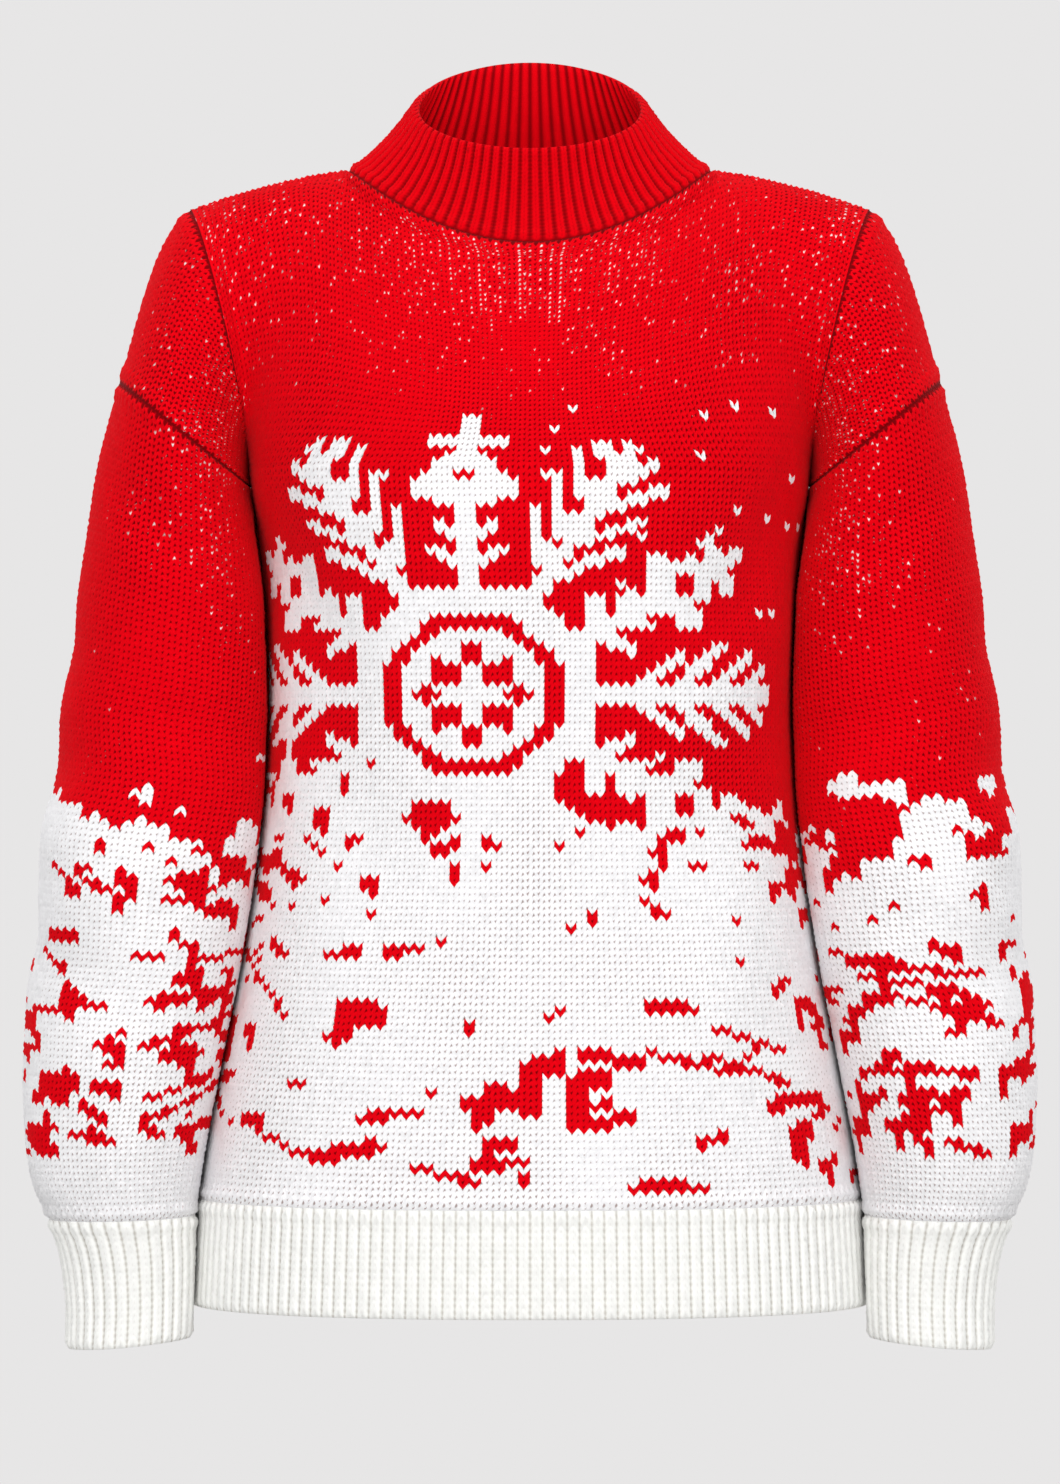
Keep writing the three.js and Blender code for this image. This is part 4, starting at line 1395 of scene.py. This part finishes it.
@dataclass(frozen=True)
class ShowThrough:
    """How likely the white yarn carried behind the red shows through its holes, from 0 to 1.

    On the body it shows most in columns below the middle of the collar, and a little along the
    shoulders and by the armholes. On an arm it shows in a band in front, beside the body, and
    along the drop seam. Heights on the body are shares of its panel's, on a sleeve millimetres.
    """

    columns: tuple[float, float] = (0.15, 1.5)
    column_power: float = 1.5
    patch_cell: tuple[float, float] = (34, 30)
    patch_between: tuple[float, float] = (0.35, 0.7)
    least_patch: float = 0.4
    collar: float = 0.62
    collar_width: float = 0.32
    collar_from: tuple[float, float] = (0.86, 0.91)
    shoulder: float = 0.15
    shoulder_from: tuple[float, float] = (0.72, 0.86)
    armhole: float = 0.2
    armhole_aside: tuple[float, float] = (0.82, 0.96)
    armhole_from: tuple[float, float] = (0.66, 0.8)
    band_at: float = -0.33
    sleeve_band_width: float = 0.07
    sleeve_band: float = 0.3
    sleeve_band_ends: tuple[float, float] = (130.0, 20.0)
    seam_band: float = 0.6
    seam_band_end: float = 7.0
    sleeve_cell: tuple[float, float] = (30, 50)
    sleeve_between: tuple[float, float] = (0.4, 0.8)
    sleeve: float = 0.08
    sleeve_ends: tuple[float, float] = (250.0, 60.0)
    cap: float = 0.07
    cap_band: float = 0.32
    cap_band_width: float = 0.06

    def on_body(self, chart: Chart) -> Array:
        """The chances on a body panel."""
        high = chart.along / chart.height
        aside = np.abs(chart.across) / (chart.width / 2)
        patchy = self.least_patch + (1 - self.least_patch) * smooth_step(
            *self.patch_between, chart.noise(self.patch_cell)
        )
        middle = np.exp(-((aside / self.collar_width) ** 2))
        middle = middle * smooth_step(*self.collar_from, high)
        beside = smooth_step(*self.armhole_aside, aside) * smooth_step(*self.armhole_from, high)
        least, spread = self.columns
        strength = chart.draw.random(chart.across.shape[1]) ** self.column_power
        return self.collar * middle * (least + spread * strength) + patchy * (
            self.shoulder * smooth_step(*self.shoulder_from, high) + self.armhole * beside
        )

    def band(self, chart: Chart, width: float) -> Array:
        """A soft band down the front of an arm, 1 on its middle line."""
        return np.exp(-(((chart.across / chart.width - self.band_at) / width) ** 2))

    def on_sleeve(self, chart: Chart) -> Array:
        """The chances on a sleeve."""
        patchy = smooth_step(*self.sleeve_between, chart.noise(self.sleeve_cell))
        peek = self.band(chart, self.sleeve_band_width) * (
            self.sleeve_band * smooth_step(*self.sleeve_band_ends, chart.along)
            + self.seam_band * (chart.along < self.seam_band_end)
        )
        return peek + self.sleeve * patchy * smooth_step(*self.sleeve_ends, chart.along)

    def on_cap(self, chart: Chart) -> Array:
        """The chances on a shoulder cap."""
        return self.cap + self.cap_band * self.band(chart, self.cap_band_width)


@dataclass(frozen=True)
class Sweater:
    """The whole pullover: its form, its yarns, its gauge and its pattern.

    Heights of the pattern are in millimetres along the cloth. The snow lies deeper to one side
    of the body, and a few single flakes fall beside the large one.
    """

    form: Form
    pattern: bpy.types.Material
    plain: bpy.types.Material
    ribbed_red: bpy.types.Material
    ribbed_white: bpy.types.Material
    panel_wales: int = 74
    panel_courses: int = 156
    sleeve_wales: int = 58
    sleeve_courses: int = 124
    cap_wales: int = 58
    cap_courses: int = 24
    collar_wales: int = 75
    collar_courses: int = 24
    cuff_wales: int = 32
    cuff_courses: int = 20
    hem_wales: int = 74
    hem_courses: int = 16
    snow_from: float = 346.0
    snow_to: float = 556.0
    sleeve_snow_from: float = 190.0
    sleeve_snow_to: float = 392.0
    side_snow: float = 38.0
    side_snow_between: tuple[float, float] = (40.0, 190.0)
    falling_chance: float = 0.011
    falling_at: float = 368.0
    falling_reach: float = 66.0
    falling_beyond: float = 5.0
    # Painted shade in the holes of the stitches: its noise cell, least strength, range, share on
    # white stitches and lift on the caps.
    hole_shade_cell: tuple[float, float] = (34, 60)
    least_hole_shade: float = 0.84
    hole_shade_range: float = 0.36
    white_hole_shade: float = 0.86
    cap_hole_shade: float = 0.2
    show_through: ShowThrough = ShowThrough()
    flake: Snowflake = Snowflake()

    def build(self) -> list[bpy.types.Object]:
        """Builds every piece and returns their objects."""
        made = [self.panel(panel) for panel in Panel]
        made += [self.hem(panel) for panel in Panel]
        made.append(self.collar())
        for side in Side:
            made += [self.cap(side), self.sleeve(side), self.cuff(side)]
        return made

    def chest_dye(self, panel: Panel) -> Callable[[Chart], Stitches]:
        """The two colours of a body panel, stitch by stitch."""

        def dye(chart: Chart) -> Stitches:
            """Snow below, the flake on the front, and a few flakes falling beside it."""
            aside = smooth_step(*self.side_snow_between, -chart.across)
            deep = chart.height - chart.along + self.side_snow * aside
            drift = SnowDrift(
                start=self.snow_from,
                end=self.snow_to,
                marks=230,
                crust=80,
                calm_share=0.5,
                calm_scale=1.3,
            )
            white = drift.white_at(chart, deep)
            if panel is Panel.FRONT:
                flake, kept_red = self.flake.white_at(chart)
                white = (white | flake) & ~kept_red
            falling = chart.draw.random(white.shape) < self.falling_chance
            falling &= np.abs(chart.along - self.falling_at) < self.falling_reach
            falling &= chart.across > self.falling_beyond
            white = white | falling
            return Stitches(
                white.astype(float), self.show_through.on_body(chart), self.hole_shade(chart, white)
            )

        return dye

    def hole_shade(self, chart: Chart, white: Array) -> Array:
        """How far the holes are pulled open, as painted shade in them: less where white yarn fills
        them.
        """
        pull = self.least_hole_shade + self.hole_shade_range * chart.noise(self.hole_shade_cell)
        return pull * np.where(white, self.white_hole_shade, 1.0)

    def sleeve_dye(self, chart: Chart) -> Stitches:
        """The two colours of a sleeve, red above and drifting to white."""
        drift = SnowDrift(
            start=self.sleeve_snow_from, end=self.sleeve_snow_to, marks=265, crust=78
        )
        white = drift.white_at(chart, chart.along)
        peek = self.show_through.on_sleeve(chart)
        return Stitches(white.astype(float), peek, self.hole_shade(chart, white))

    def cap_dye(self, chart: Chart) -> Stitches:
        """All red, with the white yarn showing through, most in front beside the body."""
        peek = self.show_through.on_cap(chart)
        none = np.zeros_like(chart.across)
        return Stitches(none, peek, self.cap_hole_shade + self.hole_shade(chart, none > 0))

    def collar_dye(self, chart: Chart) -> Stitches:
        """All red rib."""
        none = np.zeros_like(chart.across)
        return Stitches(none, none, none + 1)

    def white_dye(self, chart: Chart) -> Stitches:
        """All white."""
        none = np.zeros_like(chart.across)
        return Stitches(none + 1, none, none + 1)

    def panel(self, panel: Panel) -> bpy.types.Object:
        """The front or the back."""
        return KnitWall(
            name=f"{panel.word}_knit",
            node=panel.word,
            slot="jacquard_knit",
            surface=lambda a, t: self.form.soft_panel_point(panel, 2 * a - 1, t),
            stitch=STOCKING,
            wales=self.panel_wales,
            courses=self.panel_courses,
            tube=False,
            ends=(Edge.RIB_JOIN, Edge.SEAM),
            finish=self.pattern,
            dye=self.chest_dye(panel),
            held="draped",
            seed=11 if panel is Panel.FRONT else 12,
        ).build()

    def hem(self, panel: Panel) -> bpy.types.Object:
        """One half of the ribbed hem."""
        return KnitWall(
            name=f"hem_{panel.word}_rib",
            node=f"hem_{panel.word}",
            slot="white_rib",
            surface=lambda a, t: self.form.hem_point(panel, 2 * a - 1, t),
            stitch=RIB,
            wales=self.hem_wales,
            courses=self.hem_courses,
            tube=False,
            ends=(Edge.RIB_JOIN, Edge.FREE),
            finish=self.ribbed_white,
            dye=self.white_dye,
            held="draped",
            seed=21 if panel is Panel.FRONT else 22,
            coarse=(1, 4),
        ).build()

    def collar(self) -> bpy.types.Object:
        """The ribbed funnel neck."""
        return KnitWall(
            name="collar_rib",
            node="collar",
            slot="red_rib",
            surface=lambda a, t: self.form.collar_point(2 * math.pi * a, t),
            stitch=DEEP_RIB,
            wales=self.collar_wales,
            courses=self.collar_courses,
            tube=True,
            ends=(Edge.SEAM, Edge.FREE),
            finish=self.ribbed_red,
            dye=self.collar_dye,
            held="stretched",
            seed=31,
            coarse=(1, 4),
        ).build()

    def arm(self, side: Side, surface: Surface) -> Surface:
        """The left arm's surface, or its mirror image on the right."""
        sign = np.array([side.value, 1, 1])
        return lambda a, t: surface(2 * math.pi * a, t) * sign

    def cap(self, side: Side) -> bpy.types.Object:
        """A shoulder cap."""
        return KnitWall(
            name=f"cap_{side.word}_knit",
            node=f"cap_{side.word}",
            slot="red_knit",
            surface=self.arm(side, self.form.cap_point),
            stitch=STOCKING,
            wales=self.cap_wales,
            courses=self.cap_courses,
            tube=True,
            ends=(Edge.SEAM, Edge.SEAM),
            finish=self.plain,
            dye=self.cap_dye,
            held="draped",
            seed=41 + side.value,
        ).build()

    def sleeve(self, side: Side) -> bpy.types.Object:
        """A sleeve, one tube."""
        return KnitWall(
            name=f"sleeve_{side.word}_knit",
            node=f"sleeve_{side.word}",
            slot="jacquard_knit",
            surface=self.arm(side, self.form.sleeve_point),
            stitch=STOCKING,
            wales=self.sleeve_wales,
            courses=self.sleeve_courses,
            tube=True,
            ends=(Edge.SEAM, Edge.RIB_JOIN),
            rib_end=1,
            finish=self.pattern,
            dye=self.sleeve_dye,
            held="draped",
            seed=51 + side.value,
        ).build()

    def cuff(self, side: Side) -> bpy.types.Object:
        """A tight ribbed cuff."""
        return KnitWall(
            name=f"cuff_{side.word}_rib",
            node=f"cuff_{side.word}",
            slot="white_rib",
            surface=self.arm(side, self.form.cuff_point),
            stitch=RIB,
            wales=self.cuff_wales,
            courses=self.cuff_courses,
            tube=True,
            ends=(Edge.RIB_JOIN, Edge.FREE),
            finish=self.ribbed_white,
            dye=self.white_dye,
            held="stretched",
            seed=61 + side.value,
            coarse=(1, 4),
        ).build()


@dataclass(frozen=True)
class Studio:
    """A pale studio: the camera, the floor and broad soft lights, in metres."""

    distance: float = 3.5
    eye_z: float = -0.304
    frame_height: float = 0.802
    film: float = 36.0
    floor_z: float = -1.06
    floor_radius: float = 2.8
    backdrop: str = "#E7E6E6"
    floor_colour: str = "#BFBFBE"
    room_colour: str = "#FFFFFF"
    room_light: float = 0.68

    def camera(self) -> None:
        """Sets up the camera, level and straight in front."""
        data = bpy.data.cameras.new("camera")
        data.sensor_fit = "VERTICAL"
        data.sensor_height = self.film
        data.lens = self.film * self.distance / self.frame_height
        camera = bpy.data.objects.new("camera", data)
        camera.location = (0, -self.distance, self.eye_z)
        camera.rotation_euler = (math.pi / 2, 0, 0)
        bpy.context.scene.collection.objects.link(camera)
        bpy.context.scene.camera = camera
        bpy.context.scene.view_settings.view_transform = "Standard"

    def light(
        self, name: str, place: tuple[float, float, float], size: float, power: float
    ) -> None:
        """Adds one square soft light that faces the middle of the sweater."""
        data = bpy.data.lights.new(name, "AREA")
        data.size = size
        data.energy = power
        light = bpy.data.objects.new(name, data)
        light.location = place
        aim = light.location.copy()
        aim.z -= self.eye_z
        light.rotation_euler = aim.to_track_quat("Z", "Y").to_euler()
        light.visible_camera = False
        bpy.context.scene.collection.objects.link(light)

    def floor(self) -> None:
        """Lays a pale matt floor below the sweater."""
        bm = bmesh.new()
        bmesh.ops.create_circle(bm, cap_ends=True, segments=96, radius=self.floor_radius)
        bmesh.ops.translate(bm, verts=bm.verts, vec=(0, 0, self.floor_z))
        mesh = bpy.data.meshes.new("floor")
        bm.to_mesh(mesh)
        bm.free()
        material = bpy.data.materials.new("pale studio floor")
        material.use_nodes = True
        shader = material.node_tree.nodes["Principled BSDF"]
        shader.inputs["Base Color"].default_value = linear(self.floor_colour)
        shader.inputs["Roughness"].default_value = 0.9
        mesh.materials.append(material)
        floor = bpy.data.objects.new("floor", mesh)
        bpy.context.scene.collection.objects.link(floor)

    def world(self) -> None:
        """Fills the room with even light before a pale backdrop."""
        world = bpy.data.worlds.new("studio")
        world.use_nodes = True
        tree = world.node_tree
        tree.nodes.clear()
        seen = add_node(tree, "ShaderNodeLightPath").outputs["Is Camera Ray"]
        room = add_node(
            tree,
            "ShaderNodeBackground",
            None,
            {"Color": linear(self.room_colour), "Strength": self.room_light},
        )
        shown = add_node(
            tree, "ShaderNodeBackground", None, {"Color": linear(self.backdrop), "Strength": 1.0}
        )
        mix = add_node(
            tree,
            "ShaderNodeMixShader",
            None,
            {0: seen, 1: room.outputs[0], 2: shown.outputs[0]},
        )
        add_node(tree, "ShaderNodeOutputWorld", None, {"Surface": mix.outputs[0]})
        bpy.context.scene.world = world

    def build(self) -> None:
        """Lights the room."""
        self.floor()
        self.world()
        self.light("key", (-0.9, -3.0, 1.0), 1.8, 36)
        self.light("fill", (1.5, -2.9, 0.3), 2.2, 25)
        self.light("top", (0.0, -0.3, 1.9), 1.6, 10)
        self.light("rear left", (-1.9, 2.4, 0.8), 1.8, 25)
        self.light("rear right", (1.9, 2.4, 0.5), 1.8, 25)


def main() -> None:
    """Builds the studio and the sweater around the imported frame."""
    logging.basicConfig(level=logging.INFO, format="%(name)s: %(message)s")
    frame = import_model()
    LOG.info("frame: %d nodes", len(frame["nodes"]))
    studio = Studio()
    studio.camera()
    sweater = Sweater(
        form=Form(),
        pattern=WoolBlendYarn("wool-blend yarn, two-colour stocking stitch").material(),
        plain=WoolBlendYarn("wool-blend yarn, red stocking stitch").material(),
        # The rib finishes paint shade into their gutters with their darker red and white.
        ribbed_red=WoolBlendYarn(
            "wool-blend yarn, red rib",
            red="#E4000F",
            red_hollow="#8A0007",
            hollow_from=0.1,
            hollow_to=1.0,
            purl_height=0.0,
            purl_shade=0.0,
        ).material(),
        ribbed_white=WoolBlendYarn(
            "wool-blend yarn, white rib",
            white="#FBFBF8",
            white_hollow="#CFCBC4",
            hollow_from=0.2,
            hollow_to=1.0,
            purl_height=0.0,
            purl_shade=0.0,
        ).material(),
    )
    for piece in sweater.build():
        LOG.info("built %s", piece.name)
    studio.build()


if __name__ == "__main__":
    main()
